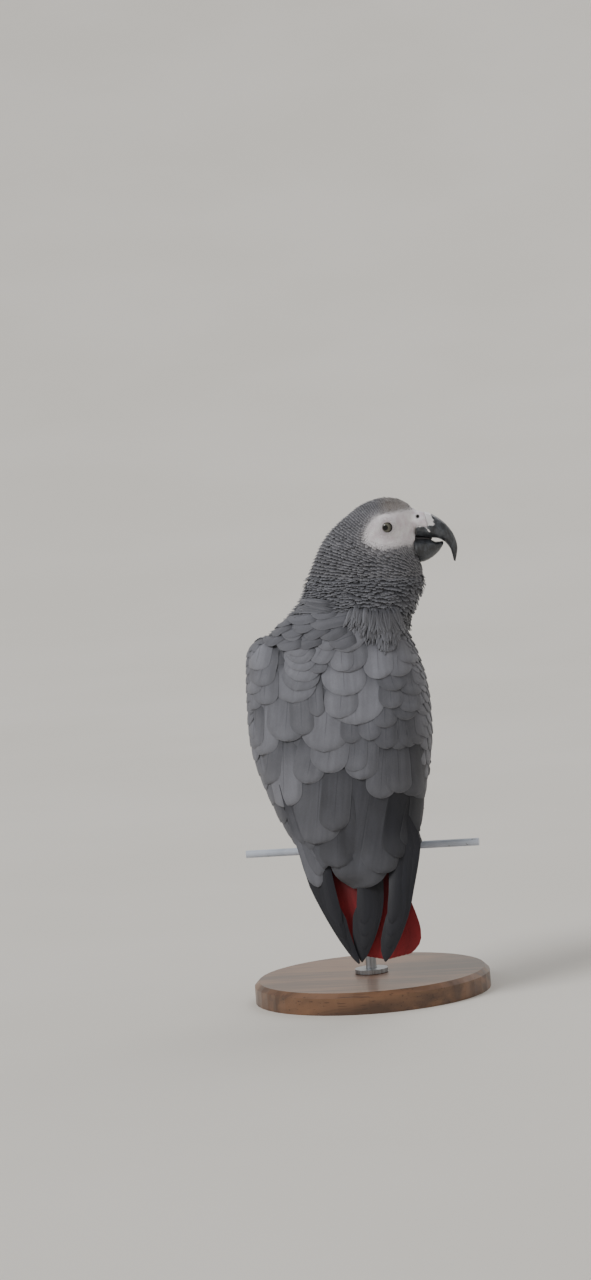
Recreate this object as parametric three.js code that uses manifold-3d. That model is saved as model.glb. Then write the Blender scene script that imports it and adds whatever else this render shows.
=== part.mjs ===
// A life-size model of a grey parrot on a short length of cage wire, held up by a plain display stand.
// The bird stands upright with its wings folded and looks over its right shoulder.
// Millimetres. +Z is up, the breast faces -Y, the bird's left is +X, and its bill points to -X.
// The origin is the centre of the base's underside. A height named h is above the axis of the perch wire.

import * as THREE from "three";
import { mergeVertices } from "three/addons/utils/BufferGeometryUtils.js";
import Module from "manifold-3d";

const wasm = await Module();
wasm.setup();

// ---- Driving dimensions ----

const GAP = 0.35; // left between two solids that meet

const BASE = { radius: 78, height: 14, bevel: 3 };
const FLANGE = { radius: 11, height: 3 };
const ROD = { radius: 3.5 };
const PERCH = { height: 97, radius: 2.5, length: 156 };
const CLAMP = { radius: 5.2, length: 12 };

const HEAD = { x: -21, y: -24, turn: 10 }; // where the head's turning line stands, and its turn past square
const CROWN = 228.6; // top of the head
const NECK_CUTS = [
  { h: 186, tilt: -14 }, // head from neck, lower at the throat than at the nape
  { h: 150, tilt: 0 }, // neck from trunk
];
const EYE = { radius: 5.6, forward: 8.4, h: 209.5, side: 14.4 };
const NOSTRIL = { radius: 1.3, forward: 28.8, h: 214.4, side: 8.6 };

const FEET_APART = 36;
const TARSUS = { top: [0, 8, 20], radius: 3.6 }; // top is measured from the foot's place on the wire
const TOE_RADIUS = 2.7;

const LOFT_FOOT = -30; // the lowest ring of the lofted body, under the tail's root
const RINGS = 28; // rings in the lofted body
const SIDES = 26; // points round each ring

const ROD_SIDES = 20;
const BASE_SIDES = 48;
const CUT_WIDTH = 200; // wider than the neck

// ---- Shape helpers ----

const radians = THREE.MathUtils.degToRad;

// A smooth value along one measure, from [place, value] knots in rising order. It is level past both ends.
function along(...knots) {
  const slopes = knots.map((_, i) => {
    const [a, b] = [knots[Math.max(i - 1, 0)], knots[Math.min(i + 1, knots.length - 1)]];
    return (b[1] - a[1]) / (b[0] - a[0]);
  });
  return (at) => {
    if (at <= knots[0][0]) return knots[0][1];
    if (at >= knots.at(-1)[0]) return knots.at(-1)[1];
    const i = knots.findIndex(([place]) => place > at) - 1;
    const [[p0, v0], [p1, v1]] = [knots[i], knots[i + 1]];
    const span = p1 - p0;
    const t = (at - p0) / span;
    const rise = v1 - v0 - span * slopes[i];
    const bend = span * (slopes[i] + slopes[i + 1]) - 2 * (v1 - v0);
    return v0 + t * (span * slopes[i] + t * (rise - bend + t * bend));
  };
}

// A smooth curve through [forward, height] points of a profile.
const profile = (...points) => new THREE.SplineCurve(points.map(([x, y]) => new THREE.Vector2(x, y)));

const lerp = THREE.MathUtils.lerp;
const steps = (count) => Array.from({ length: count + 1 }, (_, i) => i / count);

function geometryFrom(points, faces) {
  const geometry = new THREE.BufferGeometry().setFromPoints(points);
  geometry.setIndex(faces.flat());
  return geometry;
}

// Reverses the faces of a closed mesh that came out inside out.
function facingOut(points, faces) {
  const volume = faces.reduce((sum, [a, b, c]) => {
    return sum + points[a].dot(new THREE.Vector3().crossVectors(points[b], points[c]));
  }, 0);
  return geometryFrom(points, volume < 0 ? faces.map(([a, b, c]) => [a, c, b]) : faces);
}

// Closed rings of equal length, joined in order and shut at both ends by a fan to the ring's middle.
function loft(rings) {
  const around = rings[0].length;
  const points = rings.flat();
  const faces = [];
  for (let i = 0; i + 1 < rings.length; i++) {
    for (let j = 0; j < around; j++) {
      const [a, b] = [i * around + j, i * around + ((j + 1) % around)];
      faces.push([a, b, b + around], [a, b + around, a + around]);
    }
  }
  for (const [ring, first, flip] of [
    [rings[0], 0, true],
    [rings.at(-1), (rings.length - 1) * around, false],
  ]) {
    const middle = ring.reduce((sum, p) => sum.add(p), new THREE.Vector3()).divideScalar(around);
    const hub = points.push(middle) - 1;
    for (let j = 0; j < around; j++) {
      const [a, b] = [first + j, first + ((j + 1) % around)];
      faces.push(flip ? [b, a, hub] : [a, b, hub]);
    }
  }
  return facingOut(points, faces);
}

// A closed slab between two grids of points that face each other across its thickness.
function slab(outer, inner) {
  const [rows, columns] = [outer.length, outer[0].length];
  const points = [...outer.flat(), ...inner.flat()];
  const under = rows * columns;
  const faces = [];
  const quad = (a, b, c, d) => faces.push([a, b, c], [a, c, d]);
  const at = (i, j) => i * columns + j;
  for (let i = 0; i + 1 < rows; i++) {
    for (let j = 0; j + 1 < columns; j++) {
      const [a, b, c, d] = [at(i, j), at(i, j + 1), at(i + 1, j + 1), at(i + 1, j)];
      quad(a, b, c, d);
      quad(under + d, under + c, under + b, under + a);
    }
  }
  const rim = [];
  for (let j = 0; j < columns; j++) rim.push(at(0, j));
  for (let i = 1; i < rows; i++) rim.push(at(i, columns - 1));
  for (let j = columns - 2; j >= 0; j--) rim.push(at(rows - 1, j));
  for (let i = rows - 2; i > 0; i--) rim.push(at(i, 0));
  rim.forEach((a, k) => {
    const b = rim[(k + 1) % rim.length];
    quad(b, a, under + a, under + b);
  });
  return facingOut(points, faces);
}

// A round tube along a smooth curve through the points. radius(t) runs from t = 0 at its start to 1.
function tube(points, radius, { sides = 6, length = 6 } = {}) {
  const curve = new THREE.CatmullRomCurve3(points);
  const { normals, binormals } = curve.computeFrenetFrames(length, false);
  const rings = steps(length).map((t, i) => {
    const middle = curve.getPointAt(t);
    return steps(sides).slice(0, -1).map((turn) => {
      const angle = 2 * Math.PI * turn;
      return middle
        .clone()
        .addScaledVector(normals[i], radius(t) * Math.cos(angle))
        .addScaledVector(binormals[i], radius(t) * Math.sin(angle));
    });
  });
  return loft(rings);
}

// ---- Solids: three.js geometry to manifold-3d and back ----

function solid(geometry) {
  const bare = new THREE.BufferGeometry();
  bare.setAttribute("position", geometry.getAttribute("position"));
  bare.setIndex(geometry.index);
  const merged = mergeVertices(bare, 1e-4);
  return new wasm.Manifold(
    new wasm.Mesh({
      numProp: 3,
      vertProperties: merged.attributes.position.array,
      triVerts: new Uint32Array(merged.index.array),
    }),
  );
}

function geometryOf(made) {
  const { vertProperties, triVerts, numProp } = made.getMesh();
  const geometry = new THREE.BufferGeometry();
  const positions = new Float32Array((vertProperties.length / numProp) * 3);
  for (let i = 0; i * numProp < vertProperties.length; i++) {
    positions.set(vertProperties.subarray(i * numProp, i * numProp + 3), i * 3);
  }
  geometry.setAttribute("position", new THREE.BufferAttribute(positions, 3));
  geometry.setIndex(new THREE.BufferAttribute(triVerts, 1));
  return geometry;
}

const cutBy = (made, ...tools) => tools.reduce((left, tool) => left.subtract(tool), made);
const largest = (made) => made.decompose().sort((a, b) => b.volume() - a.volume())[0];

// ---- The body's outline, by height above the perch ----

// Trunk, neck and head. The trunk's rings are square to the body. The head's rings follow its turn, with the
// nape on the bird's left and the face on its right.
const BODY = {
  x: along([-30, -13], [0, -6], [19, -0.6], [45, 4], [74, 8], [104, 9.8], [129, 12], [141, 9.5],
    [151, 1.2], [159, -5.4], [168, -10.3], [181, -13.5], [194, -16.1], [203.5, -17.7], [210, -21.5],
    [216, -25.2], [222, -27.6], [CROWN, -29]),
  halfX: along([-30, 6], [-14, 14], [4, 26], [19, 37], [45, 49], [74, 57], [104, 58], [129, 54],
    [141, 47], [151, 42.7], [159, 39.4], [168, 38.4], [181, 37.6], [194, 34], [203.5, 30.5], [210, 27.7],
    [216, 24.4], [222, 18.6], [226.4, 11], [CROWN, 1]),
  y: along([-30, 44], [-14, 40], [4, 32], [19, 25], [33, 18], [50, 10], [74, 2], [104, -7], [130, -15],
    [142, -18], [151, -20], [168, -22.5], [200, -24.2], [CROWN, -25]),
  halfY: along([-30, 3], [-14, 8], [4, 18], [19, 27], [33, 34], [50, 40], [74, 43], [104, 43], [130, 38],
    [142, 35],
    [151, 32], [159, 30], [168, 28], [181, 25.5], [194, 22.5], [203.5, 20.5], [210, 19.3], [216, 17.4],
    [222, 13.6], [226.4, 8.4], [CROWN, 1]),
  turn: along([140, 0], [170, HEAD.turn], [CROWN, HEAD.turn]),
  narrowing: along([170, 0], [200, 0.16], [CROWN, 0.16]), // how much slimmer the face is than the nape
};

// The folded wings wrap the trunk with an outline of their own, a little proud of it, and run on past it.
const WING = {
  x: along([-70, -12], [-33, -10], [-3.5, -5.1], [19, 0.3], [30, 2.5], [45, 4.4], [74, 7.5], [104, 9.4],
    [130, 13], [139, 13.8], [146, 8]),
  halfX: along([-70, 32], [-33, 33], [-3.5, 40], [19, 46.8], [30, 49.3], [45, 53.4], [61, 57.3],
    [74, 59.8], [104, 60], [130, 56], [139, 52.6], [146, 45]),
  y: along([-70, 52], [-33, 39], [0, 27], [20, 20], [50, 10.5], [80, 1], [104, -7], [130, -15], [146, -19]),
  halfY: along([-70, 14], [-33, 22], [0, 29], [20, 34], [50, 42], [80, 45], [104, 45], [130, 40], [146, 34]),
  turn: () => 0,
  narrowing: () => 0,
};
const SQUARENESS = 2.25; // 2 would make each ring an ellipse

// A point of an outline. Angle 0 is the back, 90 the bird's left, 180 the breast and 270 its right.
function outlinePoint(form, h, angle, grow = 0) {
  const round = (v) => Math.sign(v) * Math.abs(v) ** (2 / SQUARENESS);
  const across = round(Math.sin(radians(angle)));
  const slimmed = 1 - form.narrowing(h) * Math.max(0, -across) ** 2;
  const point = new THREE.Vector3(
    across * (form.halfX(h) + grow),
    round(Math.cos(radians(angle))) * (form.halfY(h) + grow) * slimmed,
    PERCH.height + h,
  );
  point.applyAxisAngle(new THREE.Vector3(0, 0, 1), radians(form.turn(h)));
  return point.add(new THREE.Vector3(form.x(h), form.y(h), 0));
}

// The angle at which the back of an outline reaches x.
function angleAt(form, h, x) {
  const reach = THREE.MathUtils.clamp((x - form.x(h)) / form.halfX(h), -0.99, 0.99);
  return THREE.MathUtils.radToDeg(Math.asin(Math.sign(reach) * Math.abs(reach) ** (SQUARENESS / 2)));
}

function bodyLoft(grow = 0) {
  const rings = steps(RINGS).map((t) => {
    const h = lerp(LOFT_FOOT, CROWN, Math.sin((Math.PI / 2) * t ** 0.86)); // closer towards the crown
    return steps(SIDES).slice(0, -1).map((turn) => outlinePoint(BODY, h, 360 * turn, grow));
  });
  return solid(loft(rings));
}

// A point of the head: its distance forward of the turning line and to the bird's own left, and its height.
function headPoint(forward, left, h) {
  const turn = radians(HEAD.turn);
  return new THREE.Vector3(
    HEAD.x - forward * Math.cos(turn) + left * Math.sin(turn),
    HEAD.y - forward * Math.sin(turn) - left * Math.cos(turn),
    PERCH.height + h,
  );
}

// ---- Wings ----

const WING_TOP = 143;
const WING_THICKNESS = along([-28, 2.6], [0, 4], [40, 6], [100, 8], [135, 8], [WING_TOP, 4]);
const WING_FOOT = { left: -14, right: -24, outer: 24 }; // its lower end, inside and outside
// The angles round the body, as in outlinePoint, at which the wing starts and ends.
const WING_INNER = along([-28, 5], [0, 5], [30, 8], [60, 15], [90, 26], [120, 38], [WING_TOP, 52]);
const WING_OUTER = along([-28, 66], [0, 80], [30, 94], [60, 104], [90, 110], [120, 112], [WING_TOP, 98]);
const EDGE_THICKNESS = along([-10, 1.2], [30, 3.2]);

// Coverts, scapulars and inner flight feathers of one wing. side is 1 on the left and -1 on the right.
// Its lower end runs from the longest tertials near the midline up to the wing's outer edge.
function wing(side, grow = 0) {
  const inner = side > 0 ? WING_FOOT.left : WING_FOOT.right;
  const lowest = (across) => lerp(inner, WING_FOOT.outer, across ** 1.4);
  const pushedOut = (t) => grow * (t === 0 ? -1 : t === 1 ? 1 : 0);
  const grid = (face) =>
    steps(15).map((rise) =>
      steps(7).map((across) => {
        const h = lerp(lowest(across), WING_TOP, rise) + pushedOut(rise);
        const spread = pushedOut(across) + lerp(WING_INNER(h), WING_OUTER(h), across);
        const rim = Math.min(1, 4 * Math.min(across, 1 - across, rise, 1 - rise));
        const depth = lerp(EDGE_THICKNESS(h), WING_THICKNESS(h), Math.sqrt(rim));
        return outlinePoint(WING, h, side * spread, face > 0 ? grow : -depth - grow);
      }),
    );
  return solid(slab(grid(1), grid(-1)));
}

// One blade of closed primaries: a thin slab under the wing's outline, between an inner and an outer edge.
// flare moves the outer edge out past the wing, where the primaries show beside it.
function primaries({ top, tip, inner, outer, lift, flare = () => 0, thickness = 1.8 }, grow = 0) {
  const grid = (face) =>
    steps(11).map((down) =>
      steps(4).map((across) => {
        const h = lerp(top + grow, tip - grow, down);
        const spread = grow * (2 * across - 1) * Math.sign(outer(h) - inner(h));
        const x = lerp(inner(h), outer(h), across) + spread;
        const depth = lift(h) + (face > 0 ? -grow : thickness + grow);
        const point = outlinePoint(WING, h, angleAt(WING, h, x), -depth);
        point.x += Math.sign(outer(h) - inner(h)) * flare(h) * across ** 2;
        return point;
      }),
    );
  return solid(slab(grid(1), grid(-1)));
}

const PRIMARIES = {
  primaries_left: {
    top: 50,
    tip: -66.5,
    inner: along([-66.5, -3.9], [-60, -1], [-43, 5.2], [-5, 14.5], [20, 24], [50, 36]),
    outer: along([-66.5, -2.1], [-64, 0.5], [-53, 8], [-33, 19.5], [-3.5, 33.6], [19, 43], [50, 50]),
    lift: along([-66, 0.5], [-14, 1], [4, 4.6], [26, 6.5], [50, 7.5]),
  },
  primaries_left_inner: {
    top: 0,
    tip: -66,
    inner: along([-66, -3.4], [-60, -1.5], [-50, -0.2], [-14, -4], [0, -6]),
    outer: along([-66, -4.8], [-57, -11.3], [-44, -17.9], [-31, -22.5], [-14, -24], [0, -24]),
    lift: along([-66, 3], [0, 6.8]),
  },
  primaries_right: {
    top: 50,
    tip: -66,
    inner: along([-66, -20], [-60, -17.6], [-50, -19.2], [-33, -24.6], [-18, -27], [10, -30], [50, -34]),
    outer: along([-66, -22], [-59, -27.8], [-36.5, -38.4], [-25, -41.2], [-4, -44], [19, -43.5], [50, -42]),
    lift: along([-66, 0.5], [-22, 1], [0, 4.6], [26, 6.5], [50, 7.5]),
    flare: along([-66, 0], [-26, 0], [-12, 2.4], [-4.5, 4.8], [4, 6.8], [14, 8], [27, 0], [50, 0]),
  },
};

// ---- Tail ----

const TAIL = {
  top: 8,
  tip: -64.5,
  middle: along([-64.5, -20.3], [-59, -20.2], [-45, -17.8], [-33, -14.2], [-20, -10.5], [-5, -5.5], [8, -3]),
  half: along([-64.5, 19], [-59, 22.3], [-45, 25.2], [-33, 24.6], [-20, 23.5], [-5, 20.5], [8, 16]),
  back: along([-64.5, 56], [-33, 51], [8, 42]),
  thickness: along([-64.5, 1.6], [-30, 3.2], [8, 6]),
};

function tail(grow = 0) {
  const grid = (face) =>
    steps(8).map((down) =>
      steps(6).map((across) => {
        const h = lerp(TAIL.top + grow, TAIL.tip - grow, down);
        const place = 2 * across - 1;
        const x = TAIL.middle(h) + place * (TAIL.half(h) + grow);
        const roof = TAIL.back(h) - 4 * place * place; // each side falls away from the middle pair
        const notch = 1.6 * Math.abs(Math.sin(3 * Math.PI * across)) * down ** 8; // rounded feather ends
        const depth = face > 0 ? -grow : TAIL.thickness(h) + grow;
        return new THREE.Vector3(x, roof - depth, PERCH.height + h - notch);
      }),
    );
  return solid(slab(grid(1), grid(-1)));
}

// ---- Legs ----

const footX = (side) => (side * FEET_APART) / 2;
const fromFoot = (side, [x, y, h]) => new THREE.Vector3(footX(side) + side * x, y, PERCH.height + h);

// The feathered thigh, from inside the belly to the ankle.
function thigh(side) {
  const points = [[7, -16, 50], [6, -12, 38], [3, -4, 26], [0, 3, 15]].map(([x, y, h]) => {
    return fromFoot(side, [side * x, y, h]);
  });
  return solid(tube(points, along([0, 11], [0.3, 14], [0.65, 11.5], [1, 5.8]), { sides: 12, length: 6 }));
}

const TOES = [
  { splay: 16, along: 1, reach: 1.0 }, // outer front toe
  { splay: -12, along: 1, reach: 0.86 }, // inner front toe
  { splay: 14, along: -1, reach: 0.94 }, // outer back toe
  { splay: -14, along: -1, reach: 0.72 }, // inner back toe
];
const GRIP = PERCH.radius + TOE_RADIUS + GAP; // height of a toe's axis where it lies on the wire

// Points of a toe that bends over the wire: [distance from the foot's middle, height above the wire's axis].
const TOE_BEND = [[0, GRIP + 0.6], [5, GRIP + 0.3], [9.2, GRIP - 1.6], [11.4, 0], [11.2, -4.4]];
const CLAW_BEND = [[11.2, -4.4], [10, -8.2], [7, -11.4], [3.2, -12.8]];

function toePoints(side, toe, bend) {
  return bend.map(([out, h]) => {
    const away = out * toe.reach;
    const across = away * Math.tan(radians(toe.splay));
    return fromFoot(side, [across, -toe.along * away, h > 0 ? h : h * toe.reach]);
  });
}

function foot(side, grow = 0) {
  const ankle = [[0, 0.5, GRIP + 1], [0, 3.5, 12], TARSUS.top].map((p) => fromFoot(side, p));
  const tarsus = solid(tube(ankle, (t) => lerp(0.9, 1, t) * TARSUS.radius + grow, { length: 3 }));
  const ball = sphere(TARSUS.radius + grow, fromFoot(side, [0, 0, GRIP + 1.1]), 8);
  const taper = (t) => lerp(TOE_RADIUS, TOE_RADIUS * 0.82, t) + grow;
  return TOES.reduce((made, toe) => {
    return made.add(solid(tube(toePoints(side, toe, TOE_BEND), taper, { length: 5 })));
  }, tarsus.add(ball));
}

// A curved claw that starts just past the end of its toe.
function claw(side, toe) {
  const [first, ...rest] = toePoints(side, toe, CLAW_BEND);
  const start = first.clone().lerp(rest[0], GAP / first.distanceTo(rest[0]));
  const radius = (t) => lerp(TOE_RADIUS * 0.72, 0.35, t ** 1.2);
  return cutBy(solid(tube([start, ...rest], radius, { length: 3 })), foot(side, GAP));
}

// ---- Head pieces ----

// A mandible between two profiles that run from its base to its tip, ridged along the first of them.
function mandible({ ridge, edge, halfWidth, stations = 8 }, grow = 0) {
  const around = 12;
  const rings = steps(stations).map((t) => {
    const [top, bottom] = [ridge.getPoint(t), edge.getPoint(t)];
    const middle = top.clone().add(bottom).multiplyScalar(0.5);
    const arm = top.clone().sub(bottom).multiplyScalar(0.5);
    arm.setLength(arm.length() + grow);
    return steps(around).slice(0, -1).map((turn) => {
      const angle = 2 * Math.PI * turn;
      const side = (halfWidth(t) + grow) * Math.sin(angle) * (1 - 0.28 * Math.cos(angle));
      return headPoint(middle.x + arm.x * Math.cos(angle), side, middle.y + arm.y * Math.cos(angle));
    });
  });
  return solid(loft(rings));
}

const BILL_UPPER = {
  ridge: profile([29, 218.4], [36.5, 216.4], [43.5, 211.8], [49.4, 205.4], [52.8, 198.4], [53.8, 191.4],
    [51.7, 183]),
  edge: profile([27, 201.4], [32.5, 200.4], [37.5, 199.7], [41.5, 199.1], [46, 196.4], [49.3, 191],
    [50.7, 183.8]),
  halfWidth: along([0, 9], [0.25, 8.2], [0.5, 6.2], [0.75, 3.6], [1, 0.7]),
  stations: 12,
};
const BILL_LOWER = {
  ridge: profile([25, 184.6], [31, 184.4], [37, 187], [41.5, 190.6], [44.6, 195]),
  edge: profile([25, 200.9], [30, 200.3], [35, 199.4], [39.6, 196.9], [44.4, 196.9]),
  halfWidth: along([0, 8.6], [0.4, 8], [0.75, 6], [1, 2.6]),
};
const CERE = {
  ridge: profile([21, 219.2], [27, 218.9], [33.4, 217.4]),
  edge: profile([21, 208], [27, 207], [35.6, 204.4]),
  halfWidth: along([0, 9.6], [0.5, 9.7], [1, 9]),
  stations: 4,
};

const sphere = (radius, place, detail = 12) =>
  solid(new THREE.SphereGeometry(radius, detail, detail * 0.75).translate(place.x, place.y, place.z));

// A round rod along X, about the perch's axis.
function alongPerch(radius, length) {
  const rod = new THREE.CylinderGeometry(radius, radius, length, ROD_SIDES);
  return solid(rod.rotateZ(Math.PI / 2).translate(0, 0, PERCH.height));
}

// A round rod on the Z axis.
function upright(radius, from, to) {
  const rod = new THREE.CylinderGeometry(radius, radius, to - from, ROD_SIDES);
  return solid(rod.rotateX(Math.PI / 2).translate(0, 0, (from + to) / 2));
}

function neckCut({ h, tilt }) {
  return solid(
    new THREE.BoxGeometry(CUT_WIDTH, CUT_WIDTH, GAP)
      .rotateY(radians(tilt))
      .translate(HEAD.x, HEAD.y, PERCH.height + h),
  );
}

// ---- The pieces ----

const group = new THREE.Group();

function add(name, made, { color, roughness = 0.8, metalness = 0 }) {
  const material = new THREE.MeshStandardMaterial({ color, roughness, metalness });
  const mesh = new THREE.Mesh(geometryOf(made), material);
  mesh.name = name;
  group.add(mesh);
}

const PLUMAGE = { color: "#7d7f85" };
const FLIGHT = { color: "#3b3b42", roughness: 0.7 };
const SCARLET = { color: "#b3222c", roughness: 0.75 };
const HORN = { color: "#22252b", roughness: 0.35 };
const BARE_SKIN = { color: "#d9d2d4", roughness: 0.7 };
const SCALED_SKIN = { color: "#5b5d63", roughness: 0.75 };
const IRIS = { color: "#d8d6ae", roughness: 0.1 };
const PAINTED_STEEL = { color: "#b9c2d2", roughness: 0.45, metalness: 0.2 };
const BARE_STEEL = { color: "#8d9095", roughness: 0.35, metalness: 0.9 };
const WOOD = { color: "#3a2a20", roughness: 0.55 };

const sides = { left: 1, right: -1 };
const sidesOf = Object.entries(sides);

function addHead(flesh) {
  const eyes = sidesOf.map(([name, side]) => [name, headPoint(EYE.forward, side * EYE.side, EYE.h)]);
  const bills = [BILL_UPPER, BILL_LOWER, CERE].map((form) => mandible(form, GAP));
  const sockets = eyes.map(([, place]) => sphere(EYE.radius + GAP, place));
  add("head", largest(cutBy(flesh, ...bills, ...sockets)), PLUMAGE);
  for (const [name, place] of eyes) add("eye_" + name, sphere(EYE.radius, place), IRIS);
  const nostrils = sidesOf.map(([, side]) => {
    return sphere(NOSTRIL.radius, headPoint(NOSTRIL.forward, side * NOSTRIL.side, NOSTRIL.h), 8);
  });
  add("cere", cutBy(mandible(CERE), ...nostrils), BARE_SKIN);
  add("bill_upper", largest(cutBy(mandible(BILL_UPPER), mandible(CERE, GAP))), HORN);
  add("bill_lower", mandible(BILL_LOWER), HORN);
}

function addWingsAndTail() {
  const blades = Object.values(PRIMARIES).map((form) => primaries(form, GAP));
  for (const [name, side] of sidesOf) add("wing_" + name, largest(cutBy(wing(side), ...blades)), PLUMAGE);
  for (const [name, form] of Object.entries(PRIMARIES)) add(name, primaries(form), FLIGHT);
  add("tail", tail(), SCARLET);
}

function addLegs() {
  const belly = bodyLoft(GAP);
  for (const [name, side] of sidesOf) {
    add("thigh_" + name, largest(cutBy(thigh(side), belly, foot(side, GAP))), PLUMAGE);
    add("foot_" + name, foot(side), SCALED_SKIN);
    TOES.forEach((toe, i) => add(`claw_${name}_${i + 1}`, claw(side, toe), HORN));
  }
}

function addStand() {
  const seat = BASE.height + GAP;
  add("perch_wire", alongPerch(PERCH.radius, PERCH.length), PAINTED_STEEL);
  const clamp = alongPerch(CLAMP.radius, CLAMP.length);
  add("stand_clamp", cutBy(clamp, alongPerch(PERCH.radius + GAP, PERCH.length)), BARE_STEEL);
  const rod = upright(ROD.radius, seat, PERCH.height);
  add("stand_rod", cutBy(rod, alongPerch(CLAMP.radius + GAP, PERCH.length)), BARE_STEEL);
  const flange = upright(FLANGE.radius, seat, BASE.height + FLANGE.height);
  add("stand_flange", cutBy(flange, upright(ROD.radius + GAP, 0, PERCH.height)), BARE_STEEL);
  const { radius, height, bevel } = BASE;
  const outline = [[0, 0], [radius, 0], [radius, height - bevel], [radius - bevel, height], [0, height]];
  const disc = new THREE.LatheGeometry(outline.map(([x, y]) => new THREE.Vector2(x, y)), BASE_SIDES);
  add("stand_base", solid(disc.rotateX(Math.PI / 2)), WOOD);
}

const roomInTrunk = [
  ...sidesOf.flatMap(([, side]) => [wing(side, GAP), foot(side, GAP)]),
  ...Object.values(PRIMARIES).map((form) => primaries(form, 2 * GAP)),
  tail(3 * GAP),
];
const whole = cutBy(bodyLoft(), ...NECK_CUTS.map(neckCut));
const [trunk, neck, head] = whole.decompose().sort((a, b) => b.volume() - a.volume());

addHead(head);
add("neck", neck, PLUMAGE);
add("trunk", largest(cutBy(trunk, ...roomInTrunk)), PLUMAGE);
addWingsAndTail();
addLegs();
addStand();

export default group;
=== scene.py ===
# A life-size grey parrot that grips a short length of painted wire, held by a plain display stand.
# Metres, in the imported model's frame: +Z is up, the breast faces -Y, and the bird's left is +X.

from functools import partial
from math import atan2, cos, degrees, exp, hypot, pi, radians, sin, sqrt, tan

import bmesh
import bpy
import numpy as np
from mathutils import Matrix, Vector, noise
from mathutils.bvhtree import BVHTree


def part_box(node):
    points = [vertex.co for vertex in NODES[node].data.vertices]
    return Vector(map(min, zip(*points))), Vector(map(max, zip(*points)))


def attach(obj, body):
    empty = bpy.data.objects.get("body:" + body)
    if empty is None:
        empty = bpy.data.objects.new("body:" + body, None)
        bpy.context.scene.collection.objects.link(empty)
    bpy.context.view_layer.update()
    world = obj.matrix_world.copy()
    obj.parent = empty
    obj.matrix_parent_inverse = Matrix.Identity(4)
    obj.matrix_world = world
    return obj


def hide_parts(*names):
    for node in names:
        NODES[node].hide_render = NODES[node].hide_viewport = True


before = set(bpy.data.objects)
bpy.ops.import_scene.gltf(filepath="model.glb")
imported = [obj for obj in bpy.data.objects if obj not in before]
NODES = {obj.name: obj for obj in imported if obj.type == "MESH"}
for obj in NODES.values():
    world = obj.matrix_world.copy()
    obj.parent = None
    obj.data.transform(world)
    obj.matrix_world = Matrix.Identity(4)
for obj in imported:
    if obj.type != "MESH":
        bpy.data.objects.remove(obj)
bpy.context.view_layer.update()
MM = 0.001
rng = np.random.default_rng(7)

FLESH = ["head", "neck", "trunk", "wing_left", "wing_right", "thigh_left", "thigh_right"]
SIDES = {"left": 1, "right": -1}

# ---- Places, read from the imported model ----


def middle(node):
    low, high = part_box(node)
    return (low + high) / 2


UP = Vector((0, 0, 1))
PERCH = middle("perch_wire")
EYES = {name: middle("eye_" + name) for name in SIDES}
EYE_RADIUS = (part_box("eye_left")[1].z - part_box("eye_left")[0].z) / 2 / MM
BETWEEN_EYES = (EYES["left"] + EYES["right"]) / 2
HEAD_LEFT = (EYES["left"] - EYES["right"]).normalized()
HEAD_FORWARD = HEAD_LEFT.cross(UP).normalized()

# The bird is laid out as it is seen squarely from behind its right shoulder.
VIEW_TURN = radians(190)
VIEW_RISE = radians(7.5)
TOWARDS_VIEWER = Vector(
    (
        sin(VIEW_TURN) * cos(VIEW_RISE),
        -cos(VIEW_TURN) * cos(VIEW_RISE),
        sin(VIEW_RISE),
    )
)
CAMERA_DISTANCE = 2.36
VIEW_RIGHT = Vector((cos(VIEW_TURN), sin(VIEW_TURN), 0))
VIEW_UP = TOWARDS_VIEWER.cross(VIEW_RIGHT)


def height(z):
    """Millimetres above the perch's axis."""
    return (z - PERCH.z) / MM


def head_place(points):
    """Millimetres forward of, left of and above the point between the eyes."""
    away = (np.asarray(points) - np.array(BETWEEN_EYES)) / MM
    return away @ np.array(HEAD_FORWARD), away @ np.array(HEAD_LEFT), away[..., 2]


def in_head(forward, left, up):
    return BETWEEN_EYES + (HEAD_FORWARD * forward + HEAD_LEFT * left + UP * up) * MM


def ease(low, high, value):
    """0 below low, 1 above high, and a smooth rise between."""
    t = np.clip((np.asarray(value, float) - low) / (high - low), 0, 1)
    return t * t * (3 - 2 * t)


def lumps(place, size_mm, seed=0.0):
    """Smooth random numbers from -1 to 1, about size_mm from one lump to the next."""
    return noise.noise(place / (size_mm * MM) + Vector((seed, 0, 0)))


# ---- Colours and material nodes ----


def colour(code):
    """An sRGB hex colour as linear RGBA."""
    channels = [int(code[i : i + 2], 16) / 255 for i in (1, 3, 5)]
    return (*[c / 12.92 if c <= 0.04045 else ((c + 0.055) / 1.055) ** 2.4 for c in channels], 1.0)


# What a node is set to unless its line says otherwise.
USUAL = {
    "Mix": {"data_type": "RGBA"},
    "Math": {"operation": "MULTIPLY"},
    "MapRange": {"interpolation_type": "SMOOTHSTEP"},
    "TexVoronoi": {"feature": "DISTANCE_TO_EDGE"},
}


def add_node(tree, kind, *values, **settings):
    """Adds a node and gives back its first output. The values go to its inputs in order, or are one dict by
    the inputs' names. Each is a number, a colour or another node's output, which is linked."""
    made = tree.nodes.new("ShaderNode" + kind)
    for key, value in {**USUAL.get(kind, {}), **settings}.items():
        setattr(made, key, value)
    if values and isinstance(values[0], dict):
        pairs = [(made.inputs[key], value) for key, value in values[0].items()]
    else:
        pairs = zip([socket for socket in made.inputs if socket.enabled], values)
    for socket, value in pairs:
        if isinstance(value, bpy.types.NodeSocket):
            tree.links.new(value, socket)
        else:
            socket.default_value = value
    return next((socket for socket in made.outputs if socket.enabled), None)


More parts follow.
